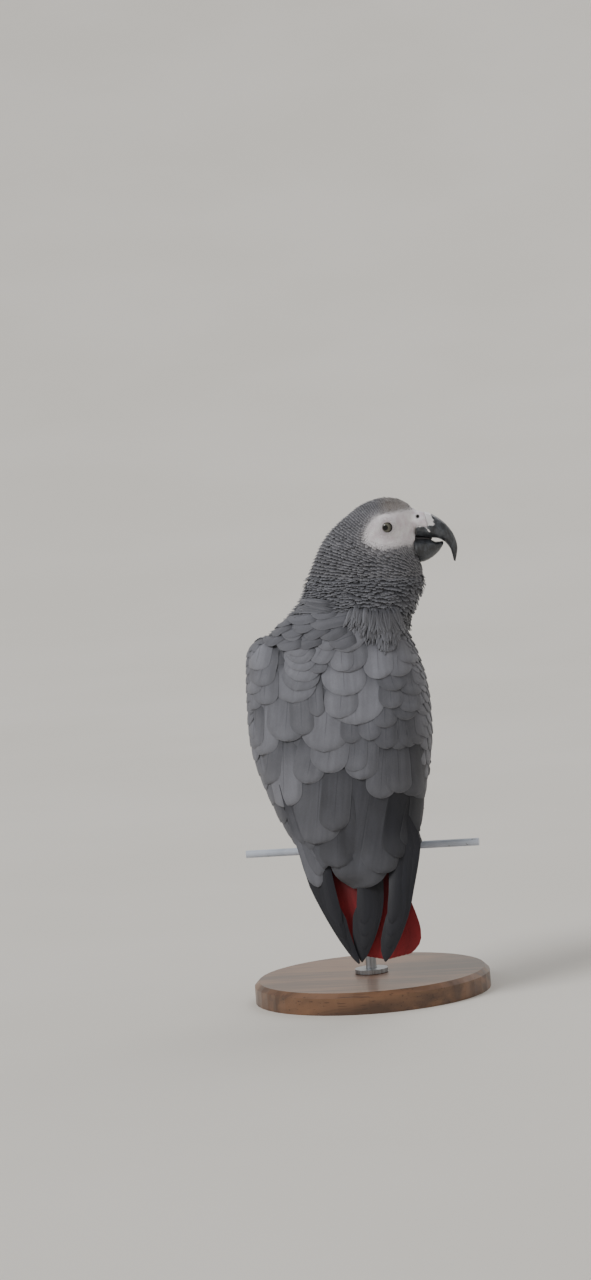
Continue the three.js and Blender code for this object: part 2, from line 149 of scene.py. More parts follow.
def new_material(name):
    """An empty material, and the function that adds a node to it."""
    material = bpy.data.materials.new(name)
    material.use_nodes = True
    material.node_tree.nodes.clear()
    return material, partial(add_node, material.node_tree)


def finished(material, add, inputs):
    """Ends a material in a Principled shader with these inputs."""
    add("OutputMaterial", add("BsdfPrincipled", inputs))
    return material


def carried(add, name):
    """The three numbers of a vector that the mesh carries at each point."""
    vector = add("Attribute", attribute_name=name).node.outputs["Vector"]
    return add("SeparateXYZ", vector).node.outputs


def in_place(add, kind, size_mm, stretch=(1, 1, 1), **inputs):
    """A procedural texture fixed in the object's own space, whose cells are about size_mm wide."""
    place = add("TexCoord").node.outputs["Object"]
    mapped = add("Mapping", {"Vector": place, "Scale": stretch})
    return add(kind, {"Vector": mapped, "Scale": 1 / (size_mm * MM), **inputs})


def relief(heights, depth_mm, strength):
    """Inputs of a Bump node."""
    return {"Height": heights, "Distance": depth_mm * MM, "Strength": strength}


BARB_SPACING = 0.7  # millimetres; real barbs are about 0.3 apart, which is too fine to show
BARB_SLANT = 0.8  # how far a barb runs towards the tip for each millimetre out from the shaft
FRAY, CLOUD = 1.11, 3.57  # millimetres across a frayed clump of barbs, and across a paler or darker streak


def feather_material(name, base, pale, dark, fringe_mm, fringe_share, tip_share, roughness=0.75, painted_dome_shade=0.0):
    """Keratin vanes grown in parallel barbs: matt and faintly ribbed, with a paler worn fringe.
    The middle of the vane can be painted paler than its sides, as light and shade on a domed vane."""
    material, add = new_material(name)
    base, pale, dark = colour(base), colour(pale), colour(dark)
    across, along, seed = carried(add, "vane_mm")
    t, edge, tint = carried(add, "vane_share")
    shade, warm, white = carried(add, "marks")
    out = add("Math", across, operation="ABSOLUTE")
    run = add("Math", along, add("Math", out, BARB_SLANT), operation="SUBTRACT")
    vane = add("CombineXYZ", across, run, seed)
    frayed = add("TexNoise", {"Vector": vane, "Scale": 1 / FRAY, "Detail": 4.0, "Roughness": 0.65})
    streaks = add("CombineXYZ", across, add("Math", along, 0.12), seed)
    cloudy = add("TexNoise", {"Vector": streaks, "Scale": 1 / CLOUD, "Detail": 2.0})
    dusty = in_place(add, "TexNoise", 22.2, Detail=3.0)
    wave = add("Math", add("Math", run, 2 * pi / BARB_SPACING), operation="SINE")
    barbs = add("Math", wave, frayed)
    uneven = add("MapRange", frayed, 0.2, 0.8, 0.93, 1.07)
    lightness = add("Math", uneven, add("Math", tint, 0.06), operation="ADD")
    lightness = add("Math", lightness, add("MapRange", cloudy, 0.25, 0.75, 0.9, 1.1))
    lightness = add("Math", lightness, add("MapRange", dusty, 0.3, 0.7, 0.93, 1.07))
    # painted light and shade: the vane's middle lighter and its sides darker, as if it were domed
    if painted_dome_shade:
        lightness = add("Math", lightness, add("MapRange", edge, 0.3, 5.0, 1 - painted_dome_shade, 1 + painted_dome_shade))
    lightness = add("Math", lightness, add("Math", barbs, 0.018), operation="ADD")
    rim = add("MapRange", edge, fringe_mm, 0.0, 0.0, fringe_share)
    shaft = add("MapRange", out, 0.12, 0.45, 0.3, 0.0)
    tone = add("Mix", shade, base, dark)
    tone = add("Mix", warm, tone, colour("#7d7266"))
    tone = add("Mix", 1.0, tone, add("CombineColor", lightness, lightness, lightness), blend_type="MULTIPLY")
    # painted shade: each vane darkens towards its root, where the feathers over it shade it
    tone = add("Mix", add("MapRange", t, 0.62, 0.15, 0.0, 0.75), tone, dark)
    tone = add("Mix", add("MapRange", t, 0.70, 0.97, 0.0, tip_share), tone, pale)
    tone = add("Mix", add("Math", rim, add("MapRange", t, 0.3, 0.75)), tone, pale)
    tone = add("Mix", add("Math", shaft, add("MapRange", t, 0.97, 0.7)), tone, dark)
    tone = add("Mix", white, tone, colour("#e8e4e7"))
    return finished(material, add, {
        "Base Color": tone,
        "Roughness": roughness,
        "Specular IOR Level": 0.3,
        "Sheen Weight": 0.12,
        "Sheen Roughness": 0.5,
        "Normal": add("Bump", relief(barbs, 0.04, 0.4)),
    })  # fmt: skip


# ---- Meshes ----


def placed(name, data):
    """An object in the scene."""
    made = bpy.data.objects.new(name, data)
    bpy.context.scene.collection.objects.link(made)
    return made


def new_object(name, points, faces, material=None):
    mesh = bpy.data.meshes.new(name)
    mesh.from_pydata([tuple(p) for p in points], [], [tuple(f) for f in faces])
    mesh.update()
    mesh.materials.append(material)
    smooth_faces(mesh)
    return placed(name, mesh)


def smooth_faces(mesh):
    mesh.polygons.foreach_set("use_smooth", [True] * len(mesh.polygons))


def points_of(mesh, kind="co"):
    """The places of a mesh's points, or their normals."""
    flat = np.empty(len(mesh.vertices) * 3)
    mesh.vertices.foreach_get(kind, flat)
    return flat.reshape(-1, 3)


def normals_of(mesh):
    return points_of(mesh, "normal")


def write(items, key, values):
    items.foreach_set(key, np.asarray(values).astype(np.float32).ravel())


def move_points(mesh, points):
    write(mesh.vertices, "co", points)
    mesh.update()


def faces_of(mesh):
    return [tuple(p.vertices) for p in mesh.polygons]


def settle(made, slot, *replaced):
    """Tells the frame what a finished piece rides on and which nodes it replaces. Its slot is not used."""
    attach(made, "root")
    if replaced:
        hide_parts(*replaced)
    return made


def cut_below(mesh, z):
    """Points and faces of a closed mesh, with what lies below z cut off and the cut closed."""
    work = bmesh.new()
    work.from_mesh(mesh)
    bmesh.ops.remove_doubles(work, verts=work.verts, dist=1e-6)
    everything = work.verts[:] + work.edges[:] + work.faces[:]
    bmesh.ops.bisect_plane(work, geom=everything, plane_co=(0, 0, z), plane_no=(0, 0, -1), clear_outer=True)
    bmesh.ops.holes_fill(work, edges=[e for e in work.edges if e.is_boundary], sides=0)
    bmesh.ops.recalc_face_normals(work, faces=work.faces)
    work.verts.index_update()
    points = np.array([v.co for v in work.verts])
    faces = [tuple(v.index for v in face.verts) for face in work.faces]
    work.free()
    return points, faces


def joined(names, wings_end=None):
    """Points and faces of several CAD nodes, with the wings cut off at a height if one is given."""
    points, faces, start = [], [], 0
    for name in names:
        mesh = NODES[name].data
        if wings_end is not None and name.startswith("wing"):
            here, these = cut_below(mesh, PERCH.z + wings_end * MM)
        else:
            here, these = points_of(mesh), faces_of(mesh)
        faces += [tuple(i + start for i in face) for face in these]
        points.append(here)
        start += len(here)
    return np.vstack(points), faces


def fused(name, points, faces, voxel_mm, relax, material=None):
    """One smooth closed surface round overlapping or nearly touching solids."""
    made = new_object(name, points, faces, material)
    remesh = made.modifiers.new("voxels", "REMESH")
    remesh.mode = "VOXEL"
    remesh.voxel_size = voxel_mm * MM
    smooth = made.modifiers.new("relax", "SMOOTH")
    smooth.factor = 0.5
    smooth.iterations = relax
    bpy.context.view_layer.update()
    graph = bpy.context.evaluated_depsgraph_get()
    mesh = bpy.data.meshes.new_from_object(made.evaluated_get(graph))
    made.modifiers.clear()
    made.data = mesh
    smooth_faces(mesh)
    return made


class Surface:
    """A surface that feathers are laid on."""

    def __init__(self, mesh):
        self.points = points_of(mesh)
        self.faces = faces_of(mesh)
        self.normals = [Vector(n) for n in normals_of(mesh)]
        self.corners = [Vector(p) for p in self.points]
        self.tree = BVHTree.FromPolygons(self.corners, self.faces)

    def smooth_normal(self, place, face):
        total = Vector()
        for corner in self.faces[face]:
            total += self.normals[corner] / ((self.corners[corner] - place).length_squared + 1e-9)
        return total.normalized()

    def nearest(self, place):
        found, _, face, _ = self.tree.find_nearest(place)
        return found, self.smooth_normal(found, face)

    def met(self, start, way):
        """The first point met from start along way, and the normal there."""
        found, _, face, _ = self.tree.ray_cast(start, way)
        return (found, self.smooth_normal(found, face)) if found else (None, None)

    def edges(self):
        pairs = {tuple(sorted(pair)) for face in self.faces for pair in zip(face, face[1:] + face[:1])}
        return np.array(sorted(pairs))


def guide(names, voxel_mm, relax):
    """A smooth surface over several CAD nodes, used only to lay feathers on."""
    made = fused("guide", *joined(names), voxel_mm, relax)
    surface = Surface(made.data)
    bpy.data.objects.remove(made)
    return surface


BLADES = ["primaries_left", "primaries_left_inner", "primaries_right"]
BODY = guide(FLESH + ["cere"], 1.5, 8)
TRUNK = guide(["trunk", "thigh_left", "thigh_right"], 1.8, 10)

HIGHEST = BODY.points[:, 2].max()


def middle_line(surface):
    """x and y in the middle of a surface as a function of z: rows and the unwrap run round this line."""
    points = surface.points
    levels = np.linspace(points[:, 2].min(), points[:, 2].max(), 50)
    bands = [points[np.abs(points[:, 2] - level) < 3.5 * MM] for level in levels]
    line = np.array([[(band[:, k].min() + band[:, k].max()) / 2 for k in (0, 1)] for band in bands])
    return lambda z: np.stack([np.interp(z, levels, line[:, k]) for k in (0, 1)], -1)


axis_at = middle_line(BODY)
trunk_axis_at = middle_line(TRUNK)


def unwrapped(points):
    """Places on an unwrap of the body: the turn round its middle line, and the height."""
    points = np.asarray(points)
    away = points[..., :2] - axis_at(points[..., 2])
    turn = np.arctan2(away[..., 0], away[..., 1]) / (2 * pi) + 0.5
    return np.stack([0.02 + 0.95 * turn, 0.02 + 0.95 * points[..., 2] / (HIGHEST + 0.002)], -1)


def give_map(mesh, places):
    layer = mesh.uv_layers.new(name="OFBake")
    loops = np.empty(len(mesh.loops), int)
    mesh.loops.foreach_get("vertex_index", loops)
    write(layer.data, "uv", places[loops])


def give_vectors(mesh, name, vectors):
    write(mesh.attributes.new(name, "FLOAT_VECTOR", "POINT").data, "vector", vectors)


def give_marks(mesh, *columns):
    give_vectors(mesh, "marks", np.stack(columns, -1))


# ---- How the plumage lies ----

HINGE = (25, -33)  # forward of and above the eyes' middle: rows on the head fan out from this point
FAN = (95, 173)  # degrees that the fan turns through, from the forehead to the top of the neck
TAILWARD = Vector((0, 0.30, -0.95)).normalized()
THIGH_LIE = Vector((0, 0.1, -1))


def lie(place):
    """The way a feather rooted here points: back from the bill, round the head, then down to the tail."""
    forward, _, up = head_place(place)
    turn = atan2(up - HINGE[1], forward - HINGE[0]) % (2 * pi)
    turn = min(max(turn, radians(80)), radians(FAN[1]))
    way = UP * cos(turn) - HEAD_FORWARD * sin(turn)
    low = ease(150, 90, height(place.z))
    return (way * (1 - low) + TAILWARD * low).normalized()


def flattened(way, normal):
    return (way - normal * way.dot(normal)).normalized()


def swung(way, normal, degrees):
    return Matrix.Rotation(radians(degrees), 3, normal) @ way


PATCH = 0.003  # each feather's patch on the map, as a share of its side


def rounded(t, start):
    """How full a feather is at each share of its length, where its tip is round from start on."""
    return np.sqrt(np.clip(1 - (np.clip(t - start, 0, 1) / (1 - start)) ** 2, 0.0015, 1))


class Coat:
    """Feathers that share one pattern of points, joined into one mesh."""

    CELL = 4 * MM  # roots are filed in cells of this size

    def __init__(self, name, stations, columns, material, slot="plumage"):
        self.name, self.stations, self.material, self.slot = name, stations, material, slot
        self.c = np.linspace(-1, 1, columns)
        self.tops, self.unders, self.roots, self.cells = [], [], [], {}
        self.facts = {"vane_mm": [], "vane_share": [], "marks": []}

    def crowded(self, place, room_mm):
        """True if a feather is rooted within room_mm. If not, this place is kept for one."""
        x, y, z = (int(v // self.CELL) for v in place)
        steps = (-1, 0, 1)
        around = [(x + i, y + j, z + k) for i in steps for j in steps for k in steps]
        if any((place - other).length < room_mm * MM for key in around for other in self.cells.get(key, ())):
            return True
        self.cells.setdefault((x, y, z), []).append(place.copy())
        return False

    def steps(self, length, width, blunt=0.5):
        """Shares of the length at each station, closer in the rounded tip, and the half-widths there."""
        cap = min(blunt * width, 0.55 * length)
        start = 1 - cap / length
        in_tip = max(3, round(self.stations * 0.45))
        body = np.linspace(0, start, self.stations - in_tip, endpoint=False)
        tip = start + (1 - start) * np.sin(np.linspace(0, pi / 2, in_tip))
        t = np.concatenate([body, tip])
        grown = 0.5 + 0.5 * np.sin(np.clip(t / 0.65, 0, 1) * pi / 2)
        return t, width / 2 * grown * rounded(t, start)

    def add(self, grid, normals, t, half, length, thickness=0.2, ridge=0.0, shade=0.0, warm=0.0, white=0.0):
        """grid and normals are stations by columns by 3, and the vane's underside lies on the grid."""
        t2, c = np.meshgrid(t, self.c, indexing="ij")
        rise = thickness * (1 - c**4) * np.clip((1 - t2) * 8, 0, 1) ** 0.5 * np.clip(t2 * 8, 0, 1) ** 0.5
        rise = rise + ridge * np.exp(-((c / 0.12) ** 2)) * (1 - t2)
        top = grid + normals * (rise * MM)[..., None]
        edge = np.minimum((1 - np.abs(c)) * half[:, None], (1 - t2) * length)
        whole = np.ones_like(c)
        facts = (
            (c * half[:, None], t2 * length, whole * rng.uniform(0, 60)),
            (t2, edge, whole * rng.normal()),
            (whole * shade, whole * warm, whole * white),
        )
        self.tops.append(top.reshape(-1, 3))
        self.unders.append(grid[1:-1, 1:-1].reshape(-1, 3))
        for kept, fact in zip(self.facts.values(), facts):
            fact = np.stack(fact, -1)
            kept.append(np.vstack([fact.reshape(-1, 3), fact[1:-1, 1:-1].reshape(-1, 3)]))
        self.roots.append(grid[0, len(self.c) // 2])

    def build(self, *replaced):
        rows, columns, count = self.stations, len(self.c), len(self.tops)
        top_count, under_count = rows * columns, (rows - 2) * (columns - 2)
        top = np.arange(top_count).reshape(rows, columns)
        under = top.copy()  # the underside shares the rim's points with the top
        under[1:-1, 1:-1] = top_count + np.arange(under_count).reshape(rows - 2, columns - 2)
        corners = [(top[:-1, :-1], top[:-1, 1:], top[1:, 1:], top[1:, :-1])]
        corners += [(under[:-1, :-1], under[1:, :-1], under[1:, 1:], under[:-1, 1:])]
        quads = np.vstack([np.stack([part.ravel() for part in four], -1) for four in corners])
        starts = np.arange(count) * (top_count + under_count)
        faces = (quads[None] + starts[:, None, None]).reshape(-1, 4).astype(np.int32)
        points = np.hstack([np.stack(self.tops), np.stack(self.unders)])
        mesh = bpy.data.meshes.new(self.name)
        mesh.vertices.add(points.size // 3)
        write(mesh.vertices, "co", points)
        mesh.loops.add(faces.size)
        mesh.loops.foreach_set("vertex_index", faces.ravel())
        mesh.polygons.add(len(faces))
        mesh.polygons.foreach_set("loop_start", np.arange(0, faces.size, 4, dtype=np.int32))
        mesh.update(calc_edges=True)
        smooth_faces(mesh)
        for name, facts in self.facts.items():
            give_vectors(mesh, name, np.vstack(facts))
        rim = np.ones((rows, columns), bool)
        rim[1:-1, 1:-1] = False
        on_rim = np.tile(np.concatenate([rim.ravel(), np.zeros(under_count, bool)]), count)
        ends = np.empty(len(mesh.edges) * 2, int)
        mesh.edges.foreach_get("vertices", ends)
        layer = mesh.attributes.new("sharp_edge", "BOOLEAN", "EDGE")
        layer.data.foreach_set("value", on_rim[ends.reshape(-1, 2)].all(axis=1))
        across = np.stack(self.facts["vane_mm"])[..., 0]
        across = across / (np.abs(across).max(axis=1, keepdims=True) + 1e-9) * 0.5
        patch = np.stack([across, np.stack(self.facts["vane_share"])[..., 0]], -1) * PATCH
        give_map(mesh, (unwrapped(np.stack(self.roots))[:, None] + patch).reshape(-1, 2))
        mesh.materials.append(self.material)
        return settle(placed(self.name, mesh), self.slot, *replaced)


def lay_small(coat, surface, root, way, length, width, depth, lift, bow, curl=0.0, flow=lie, blunt=0.5,
              **look):
    """A small feather: its root lies depth under the surface and its tip stands lift over it, in mm."""
    place, normal = surface.nearest(root)
    t, half = coat.steps(length, width, blunt)
    centres, ups, sides = [], [], []
    for i, share in enumerate(t):
        way = flattened(way, normal)
        rise = (lift + depth) * share**1.15 - depth + curl * share**4
        centres.append(place + normal * rise * MM)
        ups.append(normal)
        sides.append(normal.cross(way))
        if i + 1 < len(t):
            place, normal = surface.nearest(place + way * (t[i + 1] - share) * length * MM)
            way = way.lerp(flow(place), 0.25)
    centres, ups, sides = (np.array(x)[:, None] for x in (centres, ups, sides))
    out = coat.c[None, :, None] * half[:, None, None]
    grid = centres + (sides * out - ups * out**2 / bow) * MM
    frayed = rng.uniform(-0.07, 0.04, len(coat.c))[None, :, None] * (length * t**8)[:, None, None]
    grid += np.cross(sides, ups) * frayed * MM
    coat.add(grid, np.repeat(ups, len(coat.c), 1), t, half, length, min(0.18, width / 24), **look)


# ---- Feather materials ----

HEAD_GREY = feather_material("grey head feathers", "#5e5e63", "#a2a2a7", "#2b2c32", 0.5, 0.38, 0.34)
NECK_GREY = feather_material("grey neck feathers", "#595a60", "#96979d", "#26272d", 0.5, 0.42, 0.30)
TUFT_GREY = feather_material(
    "loose grey hind neck feathers", "#67686e", "#85868c", "#2a2b31", 0.4, 0.12, 0.15, 0.78
)
BREAST_GREY = feather_material("pale grey breast feathers", "#76777d", "#9fa0a5", "#37383e", 0.8, 0.42, 0.15)
BACK_GREY = feather_material(
    "grey covert feathers", "#707178", "#8f9096", "#222329", 1.2, 0.05, 0.08, 0.7, painted_dome_shade=0.09
)
FLIGHT_GREY = feather_material("dark flight feathers", "#212229", "#3c3d44", "#0f0f14", 0.5, 0.14, 0.0, 0.5)
CRIMSON = feather_material("crimson tail feathers", "#8c1a21", "#a84044", "#2a0508", 0.6, 0.3, 0.1, 0.6)


def compass(turn):
    """Level, and turned from the back by degrees towards the bird's left."""
    return Vector((sin(radians(turn)), cos(radians(turn)), 0))


def met_by(surface, rays):
    """The places where rays, each a start and a way, meet a surface."""
    places = [surface.met(start, way)[0] for start, way in rays]
    return [place for place in places if place]


def evenly(line, spacing, start):
    """Places along a line of points, spacing millimetres apart."""
    if len(line) < 2:
        return []
    points = np.array(line)
    lengths = np.concatenate([[0], np.cumsum(np.linalg.norm(np.diff(points, axis=0), axis=1))]) / MM
    marks = np.arange(start * spacing, lengths[-1], spacing)
    return [Vector([np.interp(m, lengths, points[:, k]) for k in range(3)]) for m in marks]


def table(rows):
    """A function of height that interpolates the other columns of its rows, whose heights rise."""
    heights = [row[0] for row in rows]
    columns = np.array([row[1:] for row in rows], float)
    return lambda h: [float(np.interp(h, heights, columns[:, k])) for k in range(columns.shape[1])]


# ---- The head and neck ----

# The bare white patch from the side, in mm forward of and above the eye. It runs on to the bill.
FACE = np.array([
    (-14.3, -3.0), (-13.9, -0.8), (-12.2, 1.8), (-10, 4.9), (-7.7, 7.2), (-5.3, 8.6), (-2.6, 9.4),
    (3.9, 9.4), (10.5, 9.7), (17.9, 10.5), (40, 10.5), (40, -14), (17.8, -12.1), (12.9, -11.4),
    (6.4, -11.6), (-1.8, -11.4), (-5.3, -10.8), (-8.2, -9.9), (-11, -8.7), (-12.9, -7.2), (-14, -5.2),
])  # fmt: skip


def into_face(points):
    """Millimetres inside the edge of the bare patch, or below 0 outside it."""
    forward, _, up = head_place(points)
    here = np.stack([forward, up], -1).reshape(-1, 1, 2)
    first, second = FACE[None], np.roll(FACE, -1, 0)[None]
    run = second - first
    share = np.clip(((here - first) * run).sum(-1) / (run**2).sum(-1), 0, 1)
    away = np.linalg.norm(here - first - share[..., None] * run, axis=-1).min(1)
    x, y = here[..., 0], here[..., 1]
    spans = (first[..., 1] > y) != (second[..., 1] > y)
    rise = np.where(np.abs(run[..., 1]) < 1e-9, 1e-9, run[..., 1])
    crossings = spans & (x < first[..., 0] + run[..., 0] * (y - first[..., 1]) / rise)
    inside = crossings.sum(1) % 2 == 1
    result = np.where(inside, away, -away)
    return result.reshape(forward.shape) if np.ndim(forward) else float(result[0])


FOREHEAD_END = 17.5  # forward of the eyes: feathers stop here, at the cere
HEAD_REACH, FAN_ARM = 58, 38  # from the fan's hinge to the crown, and to the middle of each row's rays


def head_look(place, inside):
    forward, _, up = (float(v) for v in head_place(place))
    # Darker lower down and towards the nape: partly the head's own tone and partly painted shade.
    dark = 0.05 + 0.36 * ease(-4, -20, up) + 0.12 * ease(0, -25, forward) + 0.10 * lumps(place, 8, 2)
    return {
        "shade": dark + rng.normal() * 0.035,
        "warm": 0.7 * (ease(-5, 5, forward) * ease(7, 13, up)),
        "white": 0.85 * ease(-2.2, 1.2, inside) + 0.10 * ease(-6, -1.6, inside),
    }


def dress_head():
    coat = Coat("head_feathers", 6, 5, HEAD_GREY)
    hinge = in_head(HINGE[0], 0, HINGE[1])
    turn, row = float(FAN[0]), 0
    while turn < FAN[1]:
        angle = radians(turn)
        radial = HEAD_FORWARD * cos(angle) + UP * sin(angle)
        centre = hinge + radial * FAN_ARM * MM
        angles = np.radians(np.arange(0, 363, 3))
        line = met_by(BODY, [(centre, radial * cos(a) + HEAD_LEFT * sin(a)) for a in angles])
        grown = ease(100, 165, turn)
        spacing = 1.10 + 0.75 * grown
        for root in evenly(line, spacing * 0.7, (row % 2) / 2 + rng.uniform(-0.1, 0.1)):
            forward, _, up = head_place(root)
            inside = into_face(root) + 0.8 * lumps(root, 2.5, 4)
            if inside > 2.4 or (forward > FOREHEAD_END and up > -8):
                continue
            place, normal = BODY.nearest(root + Vector(rng.normal(size=3)) * 0.10 * MM)
            size = 1.15 + 0.85 * grown + 0.2 * ease(-8, -22, up)
            size *= 0.72 + 0.28 * ease(0.6, -3.5, inside)
            if coat.crowded(place, size * (0.78 - 0.25 * ease(-2.5, 0.3, inside))):
                continue
            fluff = 0.5 + 0.5 * lumps(place, 5)
            way = swung(lie(place), normal, rng.normal() * 6 + 12 * lumps(place, 7, 3))
            nape = ease(-10, -24, forward) * ease(24, 4, up) * rng.uniform(0.1, 1)
            crest = ease(12, 17, up) * ease(16, 10, forward) * rng.uniform(0, 1.0)
            proud = 0.06 + (0.30 + 0.45 * fluff) * grown * ease(1, -3, inside) + 1.1 * nape + crest
            bare = ease(-2.5, 0.3, inside)
            length, width = size * 2.7, size * (2.0 - 1.1 * bare)
            lay_small(coat, BODY, place, way, length, width, 0.35 + 0.6 * grown, proud, 14,
                      curl=(0.1 + 0.5 * fluff) * grown, blunt=0.27 + 0.9 * bare, **head_look(place, inside))
        turn += degrees(spacing / HEAD_REACH)
        row += 1
    return coat.build()


def rings(coat, surface, top, bottom, turns, sizes, depth, lift, look, bow, wave=0.0, slant=None, curl=0.0,
          ruffle=0.0, blunt=0.5, axis=axis_at):
    """Staggered rows of small feathers round the body. sizes(h) gives the row's step, the room between
    roots, and a feather's length and width. lift is in mm, or a function of the place."""
    h, row = top, 0
    while h > bottom:
        step, column, length, width = sizes(h)
        rays = []
        for outward in map(compass, np.arange(turns[0], turns[1] + 1, 2.0)):
            z = PERCH.z + (h + (slant(outward, h) if slant else 0)) * MM
            rays.append((Vector((*axis(z), z)), outward))
        line = met_by(surface, rays)
        for root in evenly(line, column, (row % 2) / 2 + rng.uniform(0, 0.25)):
            place, normal = surface.nearest(root + Vector(rng.normal(size=3)) * 0.08 * step * MM)
            way = flattened(lie(place), normal)
            if wave:
                place, normal = surface.nearest(place + way * wave * lumps(place, 16) * MM)
            if coat.crowded(place, 0.6 * column):
                continue
            folds = 0.5 + 0.5 * lumps(Vector((place.x, place.y, place.z * 2.2)), 11, 5)
            size = rng.uniform(0.9, 1.1)
            way = swung(way, normal, rng.normal() * 6 + 12 * lumps(place, 14, 9))
            proud = (lift(place) if callable(lift) else lift) + ruffle * folds + rng.uniform(-0.1, 0.1)
            lay_small(coat, surface, place, way, length * size, width * size, depth, proud, bow,
                      curl * (0.4 + 1.2 * folds), blunt=blunt, **look(place))
        h -= step
        row += 1


def neck_slant(outward, h):
    """The neck's rows slant down to the throat, less and less with each row."""
    slope = tan(radians(180 - FAN[1])) * ease(146, 176, h)
    centre = Vector((*axis_at(PERCH.z + h * MM), 0))
    forward = (centre - BETWEEN_EYES).dot(HEAD_FORWARD) / MM + outward.dot(HEAD_FORWARD) * 20
    return -slope * (forward + 8)


def turn_of(place):
    """Degrees round the body's middle line: 0 at the back, 90 at the bird's left."""
    away = np.array(place)[:2] - axis_at(place.z)
    return degrees(atan2(away[0], away[1]))


def under_mantle(place):
    """1 where the back's large feathers cover the foot of the neck."""
    return ease(161, 156, height(place.z)) * ease(112, 88, abs(turn_of(place)))


def neck_look(place):
    # Painted light and shade: feathers are paler where the neck's folds stand out and darker between them.
    painted_fold_light = lumps(Vector((place.x, place.y, place.z * 2.2)), 11, 5)
    foot = 0.2 * (ease(168, 147, height(place.z)) * ease(80, 110, abs(turn_of(place))))
    # under_mantle adds painted shade, for the hollows under the mantle's feathers.
    return {"shade": 0.25 - 0.30 * painted_fold_light + 0.5 * under_mantle(place) - foot + rng.normal() * 0.04}


def dress_neck():
    coat = Coat("neck_feathers", 7, 5, NECK_GREY)
    sizes = table([[138, 2.3, 3.6, 9.5, 6.0], [152, 1.9, 3.1, 8.2, 5.3],
                   [166, 1.7, 2.8, 7.2, 4.8], [184, 1.6, 2.5, 6.2, 4.2]])

    def proud(place):
        """Feathers of the nape and throat stand out in loose points."""
        edge = abs(sin(radians(turn_of(place) + 10)))
        return 0.25 + rng.uniform(0.3, 1.8) * ease(0.6, 1, edge) - 1.4 * under_mantle(place)

    rings(coat, BODY, 181, 147, (0, 358), sizes, 1.6, proud, neck_look, 22, wave=1.6, slant=neck_slant,
          curl=0.8, ruffle=0.9, blunt=0.27)
    return coat.build()


# ---- Trunk and wings: the small feathers under the large ones ----


def plain_look(shade):
    return lambda place: {"shade": shade + rng.normal() * 0.06}


def breast_look(place):
    """Darker towards the neck, and paler down the belly."""
    dark = 0.08 + 0.42 * ease(85, 148, height(place.z)) + 0.12 * lumps(place, 25)
    return {"shade": dark + rng.normal() * 0.06}


def dress_trunk():
    front = Coat("breast_feathers", 7, 5, BREAST_GREY)
    sizes = table([[-30, 5.5, 6.5, 15, 9.5], [30, 5.5, 6.5, 15, 10],
                   [100, 4.8, 5.8, 13, 8.6], [147, 3.6, 4.4, 11, 6.4]])
    for top, bottom, first in ((148, 54, 88), (54, 34, 102)):  # further from the wing's edge below its bend
        rings(front, BODY, top, bottom, (first, 360 - first), sizes, 2.2,
              lambda place: 0.25 - 1.2 * ease(106, 98, abs(turn_of(place))), breast_look, 34,
              wave=1.5, curl=0.6, ruffle=0.5)
    rings(front, TRUNK, 36, 0, (48, 312), sizes, 2.2, -0.1, plain_look(0.1), 34,
          wave=1.5, curl=0.4, ruffle=0.5, axis=trunk_axis_at)
    vent = Coat("vent_feathers", 7, 5, CRIMSON)
    rings(vent, TRUNK, 1, -36, (60, 300), sizes, 1.6, 0.1, plain_look(0.1), 26,
          wave=1.5, curl=0.3, axis=trunk_axis_at)
    return [front.build(), vent.build()]


def dress_thighs():
    coat = Coat("thigh_feathers", 6, 5, BREAST_GREY)
    for side in SIDES:
        surface = Surface(NODES["thigh_" + side].data)
        low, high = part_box("thigh_" + side)
        for z in np.arange(high.z - 2 * MM, low.z + 1.5 * MM, -3.0 * MM):
            share = (z - low.z) / (high.z - low.z)
            band = surface.points[np.abs(surface.points[:, 2] - z) < 5 * MM]
            centre = Vector((*((band.min(0) + band.max(0)) / 2)[:2], z))
            line = met_by(surface, [(centre, compass(turn)) for turn in range(0, 360, 12)])
            for root in evenly(line, 3.4, rng.uniform(0, 1)):
                if not coat.crowded(root, 2.2):
                    lay_small(coat, surface, root, THIGH_LIE, 7 + 4 * share, 4.4 + 2 * share, 0.5, 0.5, 16,
                              curl=0.4, flow=lambda place: THIGH_LIE, shade=0.15 + rng.normal() * 0.05)
    return coat.build()


# ---- The large feathers of the back and wings ----
# Each is placed by its tip: millimetres right of and above the perch's middle as seen from behind the right
# shoulder, width, the length that shows, the lean of its tip to the viewer's right in degrees, how far it
# stands over its neighbours, and how much darker it is, which for those low on the right is partly painted
# shade.

MANTLE = [
    (-31.1, 160.7, 6, 38, -91, 0.3, 0.2), (-24, 164.4, 5, 29, -92, 0.3, 0.2),
    (-21.7, 149.7, 11, 33, -78, 0.6, 0.1), (-20.2, 155.2, 8, 17, -82, 0.7, 0.15),
    (-36.2, 153.8, 10, 21, -79, 0.5, 0.1), (-32.2, 145.6, 10, 20, -71, 0.3, 0.1),
    (-40.4, 142.9, 9, 17, -72, 0.3, 0.1), (-26.6, 141.8, 9.5, 20, -71, 0.0, 0.15),
    (-16.8, 140.4, 10.5, 20, -65, 0.1, 0.1), (-37.3, 157.2, 7, 20, -71, 0.3, 0.2),
    (-10.6, 134.6, 10.5, 19, -61, 0.0, 0.1), (-33, 136.3, 9.5, 20, -71, 0.0, 0.15),
    (-44.8, 137.3, 9, 18, -66, 0.0, 0.1), (-48.5, 145, 9, 16, -66, 0.1, 0.1),
    (-53, 139, 10, 16, -58, 0.0, 0.1), (-47, 150.5, 8, 16, -70, 0.3, 0.1),
]  # fmt: skip
